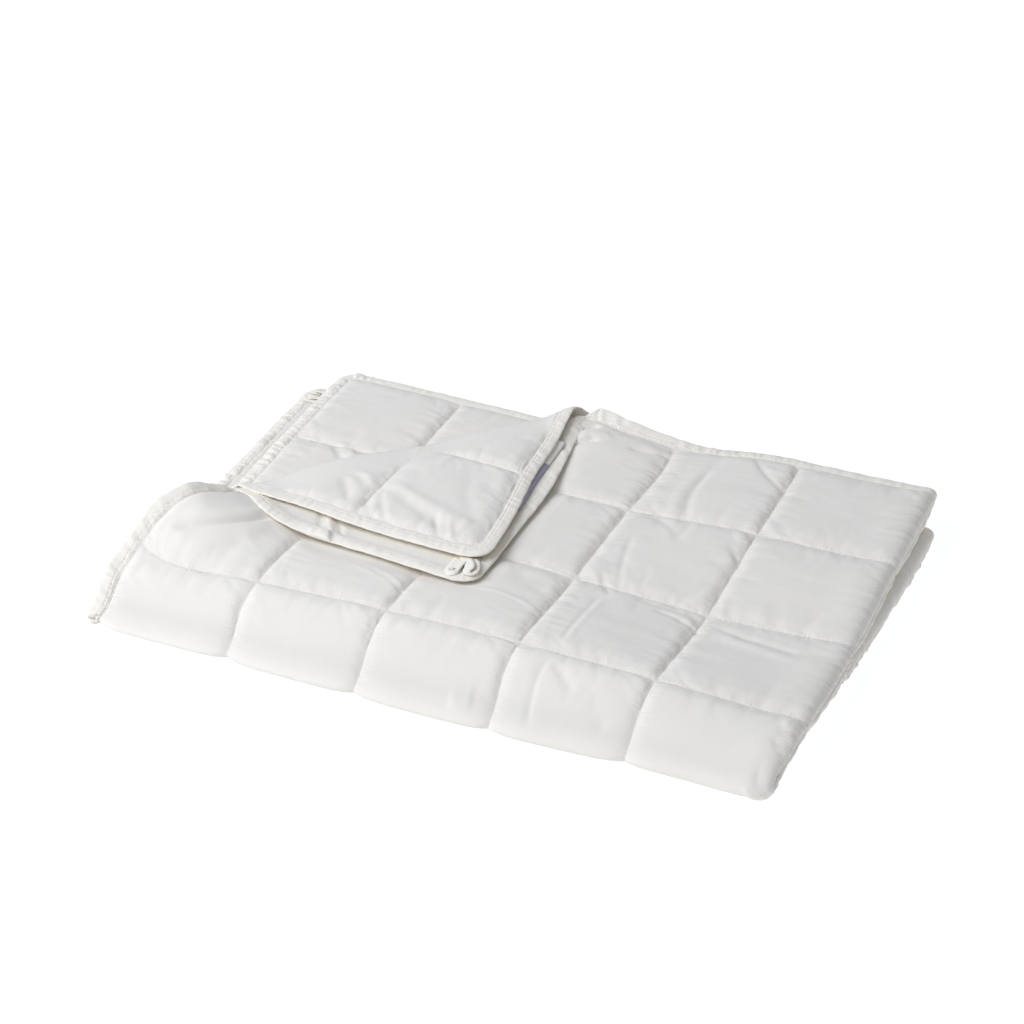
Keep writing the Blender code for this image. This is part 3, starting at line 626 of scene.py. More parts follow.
def open_half(P, Q):
    """Half thickness where nothing lies on the cloth: the pillow, its puckers, creases and folds."""
    off_column, off_row, _, _ = seam_distances(P, Q)
    sides = rounded(off_column, COLUMN_ROUND, CROWN_POWER) * rounded(off_row, ROW_ROUND, CROWN_POWER)
    middle = CROWN_MIDDLE * rounded(off_column, POCKET / 2, 2) * rounded(off_row, POCKET / 2, 2)
    sewn = seam_half(P, Q)
    rise = (CROWN_OPEN - sewn + streaks(P, Q)) * (sides * (CROWN_SIDES + middle))
    ridges = puckers(P, Q)
    marks = creases(P, Q, CREASES)
    size = np.maximum(sewn + rise + pocket_move(P, Q)[2], 0.5 * MM) + ridges + marks
    taut = (NEAR_FOLD_CROWN - NEAR_FOLD_SEAM) * rounded(off_column, POCKET / 2, NEAR_FOLD_POWER)
    taut = NEAR_FOLD_SEAM + taut + NEAR_FOLD_RIDGES * ridges + marks
    size = size + (taut - size) * (hill((Q + SECOND_SHIFT) / NEAR_FOLD_WIDE) * (P < 0))
    beside = hill((abs(P) - RIGHT_FOLD_FULL_AT) / RIGHT_FOLD_WIDE)
    beside = beside * (0.3 + 0.7 * rounded(off_row, POCKET / 2, CROWN_POWER)) * smooth(Q, -10 * MM, 30 * MM)
    return size + np.where(P < 0, RIGHT_FOLD_FULL["above"], RIGHT_FOLD_FULL["below"]) * beside


def cloth_top(P, Q):
    """Where the outer face of the cloth lies: flat place and height off the cloth's middle."""
    free = np.maximum(open_share(P, Q), smooth(-abs(P), -RIGHT_FOLD_SHOWS, -12 * MM))
    covered = covered_half(P, Q)
    size = covered + (open_half(P, Q) - covered) * free
    off_column, off_row, _, _ = seam_distances(P, Q)
    nearest = np.minimum(abs(off_column), abs(off_row))
    flat = SEAM_HALF + (LAYER / 2 * layer_share(P, Q) - SEAM_HALF) * smooth(nearest, 0, FLOOR_ROUND)
    on_floor = (P < -FIRST_CLOTH) & (Q + SECOND_SHIFT < -SECOND_CLOTH["outer"])
    size = np.where(on_floor, flat, size)
    along, across, _ = pocket_move(P, Q)
    return P + along * free, Q + across * free, into_binding(P, Q, size)


def into_binding(P, Q, size):
    """Thins the cloth where it goes into the binding, which it meets without a step."""
    edge = edge_distance(P, Q)
    meets = 1 - smooth(edge, BINDING_WIDTH, BINDING_WIDTH + 8 * MM)
    size = size + (BINDING_MEETS - size) * meets * (size < BINDING_MEETS)
    return EDGE_HALF + (size - EDGE_HALF) * smooth(edge, BINDING_WIDTH - 0.4 * MM, BINDING_WIDTH - 0.05 * MM)


def cloth_under(P, Q):
    """Half thickness on the inner face, which always lies against another layer."""
    return into_binding(P, Q, covered_half(P, Q) + creases(P, Q, UNDER_CREASES))


# %% [markdown]
# ## The quilt
# A grid of faces is the natural start for cloth. It is drawn flat, doubled, and closed round the edge
# with a bridge, so it is one filled slab. Faces that the eye can reach are then divided five by five,
# because a pucker of a few millimetres needs points closer than that, and the hidden layers do not.


# %% Lines of the grid
def grid_lines(pockets_half, seam_start, edge):
    """Places of the grid's lines along one side: close beside the seams, wide in the pockets."""
    steps = np.array([0, 2.5, 8, 16.5, 25, 33.5, 42, 50.5, 59, 67.5, 76, 84.5, 93, 101.5, 110, 115.5]) * MM
    lines = []
    for k in range(-pockets_half - 1, pockets_half + 1):
        lines += [k * POCKET + seam_start + step for step in steps]
    limit = edge - EDGE_WIDTH
    lines = [line for line in lines if abs(line) <= limit + 1e-6]
    rim = [limit + 0.4 * MM, limit + 4 * MM, edge]
    return np.array(sorted(set(np.round(lines + rim + [-line for line in rim], 7))))


EDGE_WIDTH = BINDING_WIDTH - BINDING_WALL - GAP
QUILT_LENGTH = HALF_LENGTH - BINDING_WALL - GAP
QUILT_WIDTH = HALF_WIDTH - BINDING_WALL - GAP
length_lines = grid_lines(POCKETS_LONG // 2, 0.0, QUILT_LENGTH)
width_lines = grid_lines(POCKETS_WIDE // 2, POCKET / 2, QUILT_WIDTH)
print(f"{len(length_lines)} lines along the length, {len(width_lines)} across")


# %% Helpers for meshes
def positions(bm):
    """Where each vertex of a bmesh lies, as an array."""
    return np.array([vert.co for vert in bm.verts])


def move_to(bm, spots):
    """Puts each vertex on its spot."""
    for vert, spot in zip(bm.verts, spots):
        vert.co = spot


def add_copy(bm, step):
    """Adds a copy of all that a bmesh holds, moved by this step."""
    copy = bmesh.ops.duplicate(bm, geom=bm.verts[:] + bm.edges[:] + bm.faces[:])["geom"]
    bmesh.ops.translate(bm, verts=[item for item in copy if isinstance(item, bmesh.types.BMVert)], vec=step)


def close_up(piece, ends_open):
    """Merges the points where a wrapped grid meets itself, and caps the ends if they are open."""
    bm = bmesh.new()
    bm.from_mesh(piece.data)
    bmesh.ops.remove_doubles(bm, verts=bm.verts, dist=0.001 * MM)
    if ends_open:
        bmesh.ops.holes_fill(bm, edges=[edge for edge in bm.edges if edge.is_boundary], sides=0)
    bmesh.ops.recalc_face_normals(bm, faces=bm.faces[:])
    bm.to_mesh(piece.data)
    bm.free()


def add_piece(name, bm, spots, flat, finish):
    """Makes an object of the flat work: each vertex on its spot, its flat place kept as a UV map."""
    mesh = bpy.data.meshes.new(name)
    bm.to_mesh(mesh)
    bm.free()
    mesh.vertices.foreach_set("co", np.asarray(spots, np.float32).ravel())
    corners = np.empty(len(mesh.loops), np.int32)
    mesh.loops.foreach_get("vertex_index", corners)
    layer = mesh.uv_layers.new(name="cloth")
    layer.data.foreach_set("uv", np.asarray(flat, np.float32)[corners].ravel())
    mesh.shade_smooth()
    mesh.update()
    mesh.materials.append(finish)
    piece = bpy.data.objects.new(name, mesh)
    bpy.context.collection.objects.link(piece)
    print(f"{name}: {sum(len(face.vertices) - 2 for face in mesh.polygons)} triangles")
    return piece


# %% Round the corners of the flat slab
def round_corners(P, Q, long, wide, radius):
    """Square corners drawn in to round ones, each square ring becoming a quarter circle."""
    past_p, past_q = abs(P) - (long - radius), abs(Q) - (wide - radius)
    both = (past_p > 0) & (past_q > 0)
    size = np.maximum(past_p, past_q)
    reach = np.where(both, size / np.maximum(np.hypot(past_p, past_q), 1e-9), 1.0)
    new_p = np.where(both, np.sign(P) * (long - radius + past_p * reach), P)
    new_q = np.where(both, np.sign(Q) * (wide - radius + past_q * reach), Q)
    return new_p, new_q


def seen(P, Q):
    """Where the outer face can be seen from above, the front or the right."""
    near_fold = (P < 12 * MM) & (abs(Q + SECOND_SHIFT) < 50 * MM)
    right_fold = abs(P) < RIGHT_FOLD_SHOWS
    return (open_share(P, Q) > 0.02) | near_fold | right_fold


def seen_under(P, Q):
    """Where the inner face shows, beside the turned corner's edges."""
    front_strip = (P < 60 * MM - HALF_LENGTH) & (Q > 150 * MM)
    right_strip = (P < -340 * MM) & (Q > HALF_WIDTH - 30 * MM)
    return front_strip | right_strip


def make_quilt(finish):
    """The filled blanket, folded."""
    bm = bmesh.new()
    columns, rows = len(length_lines) - 1, len(width_lines) - 1
    bmesh.ops.create_grid(bm, x_segments=columns, y_segments=rows, size=1)
    flat = positions(bm)
    P = np.interp((flat[:, 0] + 1) / 2 * columns, np.arange(columns + 1), length_lines)
    Q = np.interp((flat[:, 1] + 1) / 2 * rows, np.arange(rows + 1), width_lines)
    P, Q = round_corners(P, Q, QUILT_LENGTH, QUILT_WIDTH, CORNER_RADIUS - BINDING_WALL - GAP)
    move_to(bm, np.stack([P, Q, np.zeros(len(P))], axis=1))
    add_copy(bm, (0, 0, 1))
    bmesh.ops.bridge_loops(bm, edges=[edge for edge in bm.edges if edge.is_boundary])
    bmesh.ops.recalc_face_normals(bm, faces=bm.faces[:])
    middles = np.array([face.calc_center_median() for face in bm.faces])
    chosen = (middles[:, 2] > 0.9) & seen(middles[:, 0], middles[:, 1])
    chosen = chosen | (middles[:, 2] < 0.1) & seen_under(middles[:, 0], middles[:, 1])
    edges = {edge for face, good in zip(bm.faces, chosen) if good for edge in face.edges}
    bmesh.ops.subdivide_edges(bm, edges=list(edges), cuts=4, use_grid_fill=True)
    flat = positions(bm)
    P, Q = flat[:, 0], flat[:, 1]
    top = flat[:, 2] > 0.5
    top_p, top_q, rise = cloth_top(P, Q)
    under = cloth_under(P, Q)
    spots = place(np.where(top, top_p, P), np.where(top, top_q, Q), np.where(top, rise, -under))
    return add_piece("quilt_cover", bm, spots, flat[:, :2], finish)


# %% [markdown]
# ## The binding
# The edge of the real blanket is closed with a tape of cotton twill, folded in half over it and sewn
# through with two lines of stitches. Where it was pushed together on the machine it stands in small
# ruffles. A grid works here too: one side runs round the whole blanket, the other round the section of
# the folded tape, and the last row is welded to the first.

# %% Path round the edge
SIDE_LONG = 2 * (HALF_LENGTH - CORNER_RADIUS)
SIDE_WIDE = 2 * (HALF_WIDTH - CORNER_RADIUS)
CORNER_ARC = CORNER_RADIUS * math.pi / 2
RIM = 2 * (SIDE_LONG + SIDE_WIDE) + 4 * CORNER_ARC
STITCH_LINES = (10.9, 8.3)
BINDING_SECTION = [  # millimetres in from the edge and half thickness, with a groove at each line of stitches
    (12.0, 1.75), (11.4, 1.9), (10.9, 1.45), (10.4, 1.9), (8.9, 1.95), (8.3, 1.5), (7.8, 1.9),
    (6.2, 1.75), (4.8, 1.6), (3.4, 1.45), (2.2, 1.3), (1.2, 1.1), (0.4, 0.8), (0.0, 0.35),
]
SLOT_INSIDE = (12.0, 8.0, 4.0, 0.9)  # and along the slot between its two halves, where the cloth goes in
SLOT_HALF = 0.7


def rim_place(along, inside):
    """The flat place this far along the outer edge and this far in from it."""
    along = along % RIM
    spots = np.zeros(np.shape(along) + (2,))
    begin = 0.0
    turn = 0.0
    corner = np.array([-(HALF_LENGTH - CORNER_RADIUS), HALF_WIDTH - CORNER_RADIUS])
    for side in (SIDE_LONG, SIDE_WIDE, SIDE_LONG, SIDE_WIDE):
        out = np.array([math.sin(turn), math.cos(turn)])
        ahead = np.array([math.cos(turn), -math.sin(turn)])
        on = (along >= begin) & (along <= begin + side)
        run = (along - begin)[..., None] * ahead
        spots = np.where(on[..., None], corner + run + out * (CORNER_RADIUS - inside)[..., None], spots)
        corner = corner + ahead * side
        begin += side
        on = (along > begin) & (along < begin + CORNER_ARC)
        angle = turn + (along - begin) / CORNER_RADIUS
        out = np.stack([np.sin(angle), np.cos(angle)], axis=-1)
        spots = np.where(on[..., None], corner + out * (CORNER_RADIUS - inside)[..., None], spots)
        begin += CORNER_ARC
        turn += math.pi / 2
    return spots[..., 0], spots[..., 1]


TUCK_AT = 292 * MM
TUCK_RISE = 2.6 * MM
FLARE = 3.2 * MM  # how far the ruffled tape spreads outwards at the left end


def gathered(along, inside, face):
    """How far the tape's ruffles stand off its flat shape, and how far its edge wanders."""
    P, Q = rim_place(along, inside)
    ends = smooth(abs(P), HALF_LENGTH - 40 * MM, HALF_LENGTH - 14 * MM)
    left_end = ends * (1 - smooth(Q, 120 * MM, 180 * MM))
    at_back = by_edge(Q, HALF_WIDTH) * hill((P + 240 * MM) / (90 * MM))
    strength = 0.35 + 0.65 * left_end + 0.5 * at_back
    ruffle = 0.5 - 1.3 * abs(noise(along / (3.9 * MM), inside / (18 * MM) + 30 * face, 31))
    broad = noise(along / (10 * MM), inside / (26 * MM) + 30 * face, 32)
    bow = smooth(inside, -1 * MM, 3 * MM) * (1 - 0.8 * smooth(inside, 8.5 * MM, 12 * MM))
    off = strength * bow * (2.6 * MM * ruffle + 1.1 * MM * (broad + 0.2))
    slant = Q - TUCK_AT + inside / 2
    tuck = smooth(slant, -45 * MM, -4 * MM) * (1 - smooth(slant, -2.5 * MM, 1 * MM)) * (P < 0) * ends
    flare = FLARE * left_end * (P < 0) * smooth(Q, -20 * MM, 40 * MM)
    wander = strength * 0.8 * MM * noise(along / (6 * MM), 0.0, 33)
    edge = (wander - flare) * (1 - smooth(inside, 2 * MM, 11 * MM))
    return np.maximum(off, -0.3 * MM) + TUCK_RISE * tuck * (face < 0), edge


def binding_top(along, inside, face):
    """Half thickness of the outside of the folded tape, on the face +1 or -1."""
    section = np.array(BINDING_SECTION[::-1]) * MM
    off, edge = gathered(along, inside, face)
    return np.interp(inside, section[:, 0], section[:, 1]) + off, edge


def make_binding(finish):
    """The folded tape, all round the blanket."""
    ring = [(inside, off, 1) for inside, off in BINDING_SECTION]
    ring += [(inside, -off, -1) for inside, off in BINDING_SECTION[::-1]]
    ring += [(inside, -SLOT_HALF, 0) for inside in SLOT_INSIDE]
    ring += [(inside, SLOT_HALF, 0) for inside in SLOT_INSIDE[::-1]]
    ring = np.array(ring + ring[:1]) * (MM, MM, 1)
    steps = int(RIM / (1.7 * MM))
    bm = bmesh.new()
    bmesh.ops.create_grid(bm, x_segments=steps, y_segments=len(ring) - 1, size=1)
    flat = positions(bm)
    along = (flat[:, 0] + 1) / 2 * RIM
    row = np.round((flat[:, 1] + 1) / 2 * (len(ring) - 1)).astype(int)
    inside, off, face = ring[row].T
    rise, edge = gathered(along, inside, face)
    off = off + rise * face
    P, Q = rim_place(along, inside + edge * abs(face))
    width = np.concatenate([[0], np.cumsum(np.hypot(*np.diff(ring[:, :2], axis=0).T))])[row]
    piece = add_piece("edge_binding", bm, place(P, Q, off), np.stack([along, width], axis=1), finish)
    close_up(piece, ends_open=False)
    return piece


# %% [markdown]
# ## Stitches
# A machine stitch is a short straight piece of thread that dips into the cloth at both ends. One is made
# from a small ball, drawn long, and doubled again and again into a row of thousands. The row is then laid
# along every seam: each stitch knows its number, and its number says where it goes.

# %% Rows of stitches
STITCH_PITCH = 2.9 * MM
STITCH_LONG = 2.1 * MM
STITCH_WIDE = 0.55 * MM
STITCH_HIGH = 0.45 * MM


def stitch_row(count):
    """A row of small balls, one unit apart, and the number and own place of each vertex."""
    bm = bmesh.new()
    bmesh.ops.create_icosphere(bm, subdivisions=1, radius=0.25)
    made = 1
    while made < count:
        add_copy(bm, (made, 0, 0))
        made *= 2
    spare = [vert for vert in bm.verts if vert.co.x > count - 0.5]
    bmesh.ops.delete(bm, geom=spare, context="VERTS")
    flat = positions(bm)
    number = np.round(flat[:, 0]).astype(int)
    own = np.stack([flat[:, 0] - number, flat[:, 1], flat[:, 2]], axis=1) / 0.5
    return bm, number, own


def seam_stitches(finish):
    """Stitches along every seam of the outer face."""
    rows = []
    for k in range(1 - POCKETS_LONG // 2, POCKETS_LONG // 2):
        count = int(2 * SEAM_WIDTH / STITCH_PITCH)
        rows += [(k * POCKET, -SEAM_WIDTH + (n + 0.5) * STITCH_PITCH, 0, 1) for n in range(count)]
    for k in range(-POCKETS_WIDE // 2 + 1, POCKETS_WIDE // 2):
        count = int(2 * SEAM_LENGTH / STITCH_PITCH)
        rows += [(-SEAM_LENGTH + (n + 0.5) * STITCH_PITCH, (k + 0.5) * POCKET, 1, 0) for n in range(count)]
    rows = np.array(rows)
    bm, number, own = stitch_row(len(rows))
    start_p, start_q, way_p, way_q = rows[number].T
    P = start_p + own[:, 0] * STITCH_LONG * way_p + own[:, 1] * STITCH_WIDE * way_q
    Q = start_q + own[:, 0] * STITCH_LONG * way_q + own[:, 1] * STITCH_WIDE * way_p
    opened = open_share(P, Q)
    sewn = SEAM_HALF + (seam_half(P, Q) - SEAM_HALF) * opened
    lift = sewn + 0.1 * MM + own[:, 2] * STITCH_HIGH - 0.5 * MM * own[:, 0] ** 2
    return add_piece("seam_stitches", bm, place(P, Q, lift), np.stack([P, Q], axis=1), finish)


def binding_stitches(finish):
    """Two lines of stitches along the binding, on both faces."""
    count = int(RIM / STITCH_PITCH)
    rows = []
    for face in (1, -1):
        for inside in STITCH_LINES:
            rows += [((n + 0.5) * STITCH_PITCH, inside * MM, face) for n in range(count)]
    rows = np.array(rows)
    bm, number, own = stitch_row(len(rows))
    start, inside, face = rows[number].T
    along = start + own[:, 0] * STITCH_LONG
    inside = inside + own[:, 1] * STITCH_WIDE
    top, edge = binding_top(along, inside, face)
    P, Q = rim_place(along, inside + edge)
    spots = place(P, Q, face * (top + own[:, 2] * STITCH_HIGH - 0.35 * MM * own[:, 0] ** 2))
    return add_piece("binding_stitches", bm, spots, np.stack([along, inside], axis=1), finish)


# %% [markdown]
# ## Tape loops and labels
# A loop of narrow tape is sewn in at two corners, for the ties of a cover. It lies crumpled on the edge.
# Two bare labels lie along the turned corner's edge: a white satin one and a blue grey woven one. All of
# them are flat bands that follow a path, so one helper makes them.

# %% A band along a path
BAND_THICK = 0.6 * MM
BAND_FACE = [(1, 1), (0.5, 1.1), (0, 1.1), (-0.5, 1.1), (-1, 1)]  # across and up, as shares of half its size
CLOSING_RUN = 4 * MM  # what the last step of a closed band counts in its UV map
BINDING_HALF = 1.6 * MM


def band(name, middles, faces_up, turns, width, closed, finish):
    """A flat woven band: its middle, the way it faces, and its turn about the path."""
    count = len(middles)
    columns = count if closed else count - 1
    ring = BAND_FACE + [(-across, -up) for across, up in BAND_FACE] + BAND_FACE[:1]
    bm = bmesh.new()
    bmesh.ops.create_grid(bm, x_segments=columns, y_segments=len(ring) - 1, size=1)
    flat = positions(bm)
    step = np.round((flat[:, 0] + 1) / 2 * columns).astype(int)
    row = np.round((flat[:, 1] + 1) / 2 * (len(ring) - 1)).astype(int)
    frames = []
    for k in range(count):
        last = (k - 1) % count if closed else max(k - 1, 0)
        following = (k + 1) % count if closed else min(k + 1, count - 1)
        ahead = (middles[following] - middles[last]).normalized()
        side = faces_up[k].cross(ahead).normalized()
        side = Quaternion(ahead, math.radians(turns[k])) @ side
        frames.append((middles[k], side, ahead.cross(side)))
    spots = []
    for k, j in zip(step, row):
        middle, side, face = frames[k % count]
        across, up = ring[j]
        spots.append(middle + side * (across * width / 2) + face * (up * BAND_THICK / 2))
    runs = [(middles[k] - middles[k - 1]).length for k in range(1, count)]
    length = np.cumsum([0] + runs + [CLOSING_RUN])
    uv = np.stack([length[step], np.array([ring[j][0] for j in row]) * width / 2], axis=1)
    piece = add_piece(name, bm, spots, uv, finish)
    close_up(piece, ends_open=not closed)
    return piece


def on_cloth(P, Q, lift):
    """A place this far off the inner face of the bound edge, and the way that face looks there."""
    spots = place(np.array([P, P]), np.array([Q, Q]), np.array([0.0, -BINDING_HALF]))
    middle, face = (Vector(spot) for spot in spots)
    out = (face - middle).normalized()
    return middle + out * (BINDING_HALF + lift), out


# %% Loops of tape
LOOP_WIDTH = 9 * MM
LOOP_STEPS = 120
LOOP_ROWS = [  # in from the corner's two edges, off the binding, turned about the loop: mm and degrees
    {"in_p": 42, "in_q": 28, "lift": 1.0, "turn": 0},
    {"in_p": 27, "in_q": 27, "lift": 0.9, "turn": 4},
    {"in_p": 12, "in_q": 26, "lift": 0.9, "turn": 6},
    {"in_p": 8, "in_q": 22, "lift": 1.5, "turn": 15},
    {"in_p": 15, "in_q": 22, "lift": 2.2, "turn": -8},
    {"in_p": 27, "in_q": 21, "lift": 2.5, "turn": -18},
    {"in_p": 30, "in_q": 13, "lift": 2.4, "turn": 12},
    {"in_p": 23, "in_q": 8, "lift": 1.6, "turn": 18},
    {"in_p": 15, "in_q": 7, "lift": 1.5, "turn": 10},
    {"in_p": 15, "in_q": 11, "lift": 2.8, "turn": -14},
    {"in_p": 23, "in_q": 13, "lift": 3.6, "turn": -12},
    {"in_p": 35, "in_q": 23, "lift": 2.8, "turn": 0},
]


def round_path(rows, names, share):
    """A place on the smooth closed curve through a table's rows; share runs from 0 to 1."""
    count = len(rows)
    k = int(share * count)
    u = share * count - k
    weights = (-u + 2 * u * u - u**3, 2 - 5 * u * u + 3 * u**3, u + 4 * u * u - 3 * u**3, u**3 - u * u)
    rows = [rows[(k + step) % count] for step in (-1, 0, 1, 2)]
    return [sum(w * row[name] for w, row in zip(weights, rows)) / 2 for name in names]


def make_loop(name, side, finish):
    """A crumpled loop of tape at an outer corner, on the blanket's inner face."""
    middles, faces_up, turns = [], [], []
    for k in range(LOOP_STEPS):
        in_p, in_q, lift, turn = round_path(LOOP_ROWS, ("in_p", "in_q", "lift", "turn"), k / LOOP_STEPS)
        spot, up = on_cloth(in_p * MM - HALF_LENGTH, side * (HALF_WIDTH - in_q * MM), lift * MM)
        middles.append(spot)
        faces_up.append(up)
        turns.append(turn)
    return band(name, middles, faces_up, turns, LOOP_WIDTH, True, finish)


# %% Labels
LABEL_WIDTH = 14 * MM
LABEL_START = 388 * MM
LABEL_JOIN = 434 * MM
LABEL_END = 518 * MM
LABEL_OUT_TOP = 6 * MM
LABEL_OUT_TIP = 0 * MM
LABEL_UNDER = 1.85 * MM
LABEL_TILT = -10
LABEL_STEPS = 24


def make_label(name, start, end, finish):
    """A bare sewn strip along the back edge of the inner layer."""
    middles, faces_up, turns = [], [], []
    for k in range(LABEL_STEPS + 1):
        P = start + (end - start) * k / LABEL_STEPS
        past = (P - LABEL_START) / (LABEL_END - LABEL_START)
        out = LABEL_OUT_TOP + (LABEL_OUT_TIP - LABEL_OUT_TOP) * past
        spot, up = on_cloth(P, HALF_WIDTH + out - LABEL_WIDTH / 2, LABEL_UNDER)
        middles.append(spot)
        faces_up.append(up)
        turns.append(LABEL_TILT)
    return band(name, middles, faces_up, turns, LABEL_WIDTH, False, finish)


# %% [markdown]
# ## Materials
# Colours are written as the hex values of the finished cloth and turned to the linear values that the
# renderer counts with.


# %% Colours and nodes
def colour(code):
    """An sRGB hex value as a linear colour."""
    parts = [int(code[k : k + 2], 16) / 255 for k in (1, 3, 5)]
    return (*[part / 12.92 if part <= 0.04045 else ((part + 0.055) / 1.055) ** 2.4 for part in parts], 1.0)


def add_node(tree, kind, inputs=None, **settings):
    """Adds one node: its settings, and its inputs as numbers or as links from other nodes."""
    made = tree.nodes.new(kind)
    for name, value in settings.items():
        setattr(made, name, value)
    for name, value in (inputs or {}).items():
        if isinstance(value, bpy.types.NodeSocket):
            tree.links.new(value, made.inputs[name])
        else:
            made.inputs[name].default_value = value
    return made


def set_inputs(node, values):
    """Sets the numbers and colours of a node's own inputs."""
    for name, value in values.items():
        node.inputs[name].default_value = value


def new_material(name):
    """An empty material: its tree and its shader."""
    made = bpy.data.materials.new(name)
    made.use_nodes = True
    return made, made.node_tree, made.node_tree.nodes["Principled BSDF"]


def cloth_material(name):
    """An empty material, its tree and shader, and the place on the flat cloth in metres."""
    made, tree, shader = new_material(name)
    return made, tree, shader, add_node(tree, "ShaderNodeUVMap", uv_map="cloth").outputs["UV"]


def two_tones(tree, shader, place_uv, grain, dark, light):
    """Colours a surface in soft patches of two tones; grain holds the inputs of their noise."""
    cloud = add_node(tree, "ShaderNodeTexNoise", {"Vector": place_uv, **grain})
    tones = {"Factor": cloud.outputs["Fac"], "A": colour(dark), "B": colour(light)}
    mix = add_node(tree, "ShaderNodeMix", tones, data_type="RGBA")
    tree.links.new(mix.outputs["Result"], shader.inputs["Base Color"])


WAVE = 0.314  # a wave texture of scale 1 repeats after this much, so WAVE / pitch is its scale


# %% [markdown]
# ### Cotton percale
# The cover is bleached cotton in a plain weave. Close up it is a fine grid of threads, from a metre away
# a matt off-white with a very soft cloudiness. Matt cloth scatters light back at grazing angles, which the
# sheen gives. Real threads lie 0.3 mm apart, which is finer than the picture can show, so the weave is
# drawn at 0.9 mm, with slubs of about 2.4 mm laid over it.


# %% Cotton cover
def seam_ridges(tree, place_uv):
    """The finest puckers, too small for the mesh: 1.6 mm apart, and gone 16 mm from a column seam."""
    split = add_node(tree, "ShaderNodeSeparateXYZ", {"Vector": place_uv})
    shifted = add_node(tree, "ShaderNodeMath", {0: split.outputs["Y"], 1: POCKET / 2}, operation="ADD")
    parts = []
    for across, squeeze, reach in (
        (split.outputs["X"], (1 / (16 * MM), 1 / (1.6 * MM), 1), 16 * MM),
        (shifted.outputs[0], (1 / (1.8 * MM), 1 / (12 * MM), 1), 7 * MM),
    ):
        off = add_node(tree, "ShaderNodeMath", {0: across, 1: POCKET / 2}, operation="PINGPONG")
        fade = {"Value": off.outputs[0], "From Max": reach, "To Min": 1.0, "To Max": 0.0}
        near = add_node(tree, "ShaderNodeMapRange", fade)
        drawn = add_node(tree, "ShaderNodeMapping", {"Vector": place_uv, "Scale": squeeze})
        grain = {"Vector": drawn.outputs[0], "Scale": 1.0, "Detail": 1.5}
        ridges = add_node(tree, "ShaderNodeTexNoise", grain)
        faded = {0: ridges.outputs["Fac"], 1: near.outputs[0]}
        parts.append(add_node(tree, "ShaderNodeMath", faded, operation="MULTIPLY").outputs[0])
    return add_node(tree, "ShaderNodeMath", {0: parts[0], 1: parts[1]}, operation="ADD").outputs[0]


THREAD_PITCH = 0.9 * MM


def cotton_cover():
    """Bleached cotton: two off-whites, a plain weave, and the finest puckers beside the seams."""
    made, tree, shader, place_uv = cloth_material("cotton percale")
    grain = {"Scale": 22.0, "Detail": 4.0, "Roughness": 0.6}
    two_tones(tree, shader, place_uv, grain, "#E6DFD1", "#ECE5D8")
    threads = {"Vector": place_uv, "Scale": WAVE / THREAD_PITCH}
    warp = add_node(tree, "ShaderNodeTexWave", threads, bands_direction="X")
    weft = add_node(tree, "ShaderNodeTexWave", threads, bands_direction="Y")
    crossed = {0: warp.outputs["Fac"], 1: weft.outputs["Fac"]}
    weave = add_node(tree, "ShaderNodeMath", crossed, operation="MULTIPLY")
    slub = add_node(tree, "ShaderNodeTexNoise", {"Vector": place_uv, "Scale": 420.0, "Detail": 2.0})
    height = add_node(tree, "ShaderNodeMath", {0: weave.outputs[0], 1: slub.outputs["Fac"]}, operation="ADD")
    seam_relief = {"Height": seam_ridges(tree, place_uv), "Strength": 0.7, "Distance": 1.1 * MM}
    relief = {"Height": height.outputs[0], "Strength": 0.3, "Distance": 0.2 * MM}
    relief["Normal"] = add_node(tree, "ShaderNodeBump", seam_relief).outputs["Normal"]
    bump = add_node(tree, "ShaderNodeBump", relief)
    tree.links.new(bump.outputs["Normal"], shader.inputs["Normal"])
    set_inputs(shader, {"Roughness": 0.92, "Specular IOR Level": 0.25})
    set_inputs(shader, {"Sheen Weight": 0.15, "Sheen Roughness": 0.5})
    return made


# %% [markdown]
# ### Cotton twill tape
# The binding is a warmer white and a twill: its threads step sideways, so fine ribs run over it at an
# angle. The loops are cut from the same tape.


# %% Twill binding
TWILL_PITCH = 1.1 * MM


def twill_tape():
    """Warm white cotton twill, with ribs at 60 degrees."""
    made, tree, shader, place_uv = cloth_material("cotton twill tape")
    two_tones(tree, shader, place_uv, {"Scale": 60.0, "Detail": 3.0}, "#EEE6D5", "#F7F0E0")
    turned = add_node(tree, "ShaderNodeMapping", {"Vector": place_uv, "Rotation": (0, 0, math.radians(60))})
    ribbed = {"Vector": turned.outputs[0], "Scale": WAVE / TWILL_PITCH, "Distortion": 0.4}
    ribs = add_node(tree, "ShaderNodeTexWave", ribbed)
    relief = {"Height": ribs.outputs["Fac"], "Strength": 0.35, "Distance": 0.3 * MM}
    bump = add_node(tree, "ShaderNodeBump", relief)
    tree.links.new(bump.outputs["Normal"], shader.inputs["Normal"])
    set_inputs(shader, {"Roughness": 0.88, "Sheen Weight": 0.1, "Specular IOR Level": 0.25})
    return made


# %% [markdown]
# ### Thread and labels
# The thread is polyester, a little brighter and glossier than the cotton. The white label is satin, with
# a soft gloss. The blue grey one is woven, with ribs across it.


# %% Thread, satin and ribbon
def plain_thread():
    """Off-white polyester, in specks of two tones."""
    made, tree, shader, place_uv = cloth_material("polyester sewing thread")
    two_tones(tree, shader, place_uv, {"Scale": 900.0}, "#E0DACB", "#ECE6D8")
    set_inputs(shader, {"Roughness": 0.6})
    return made


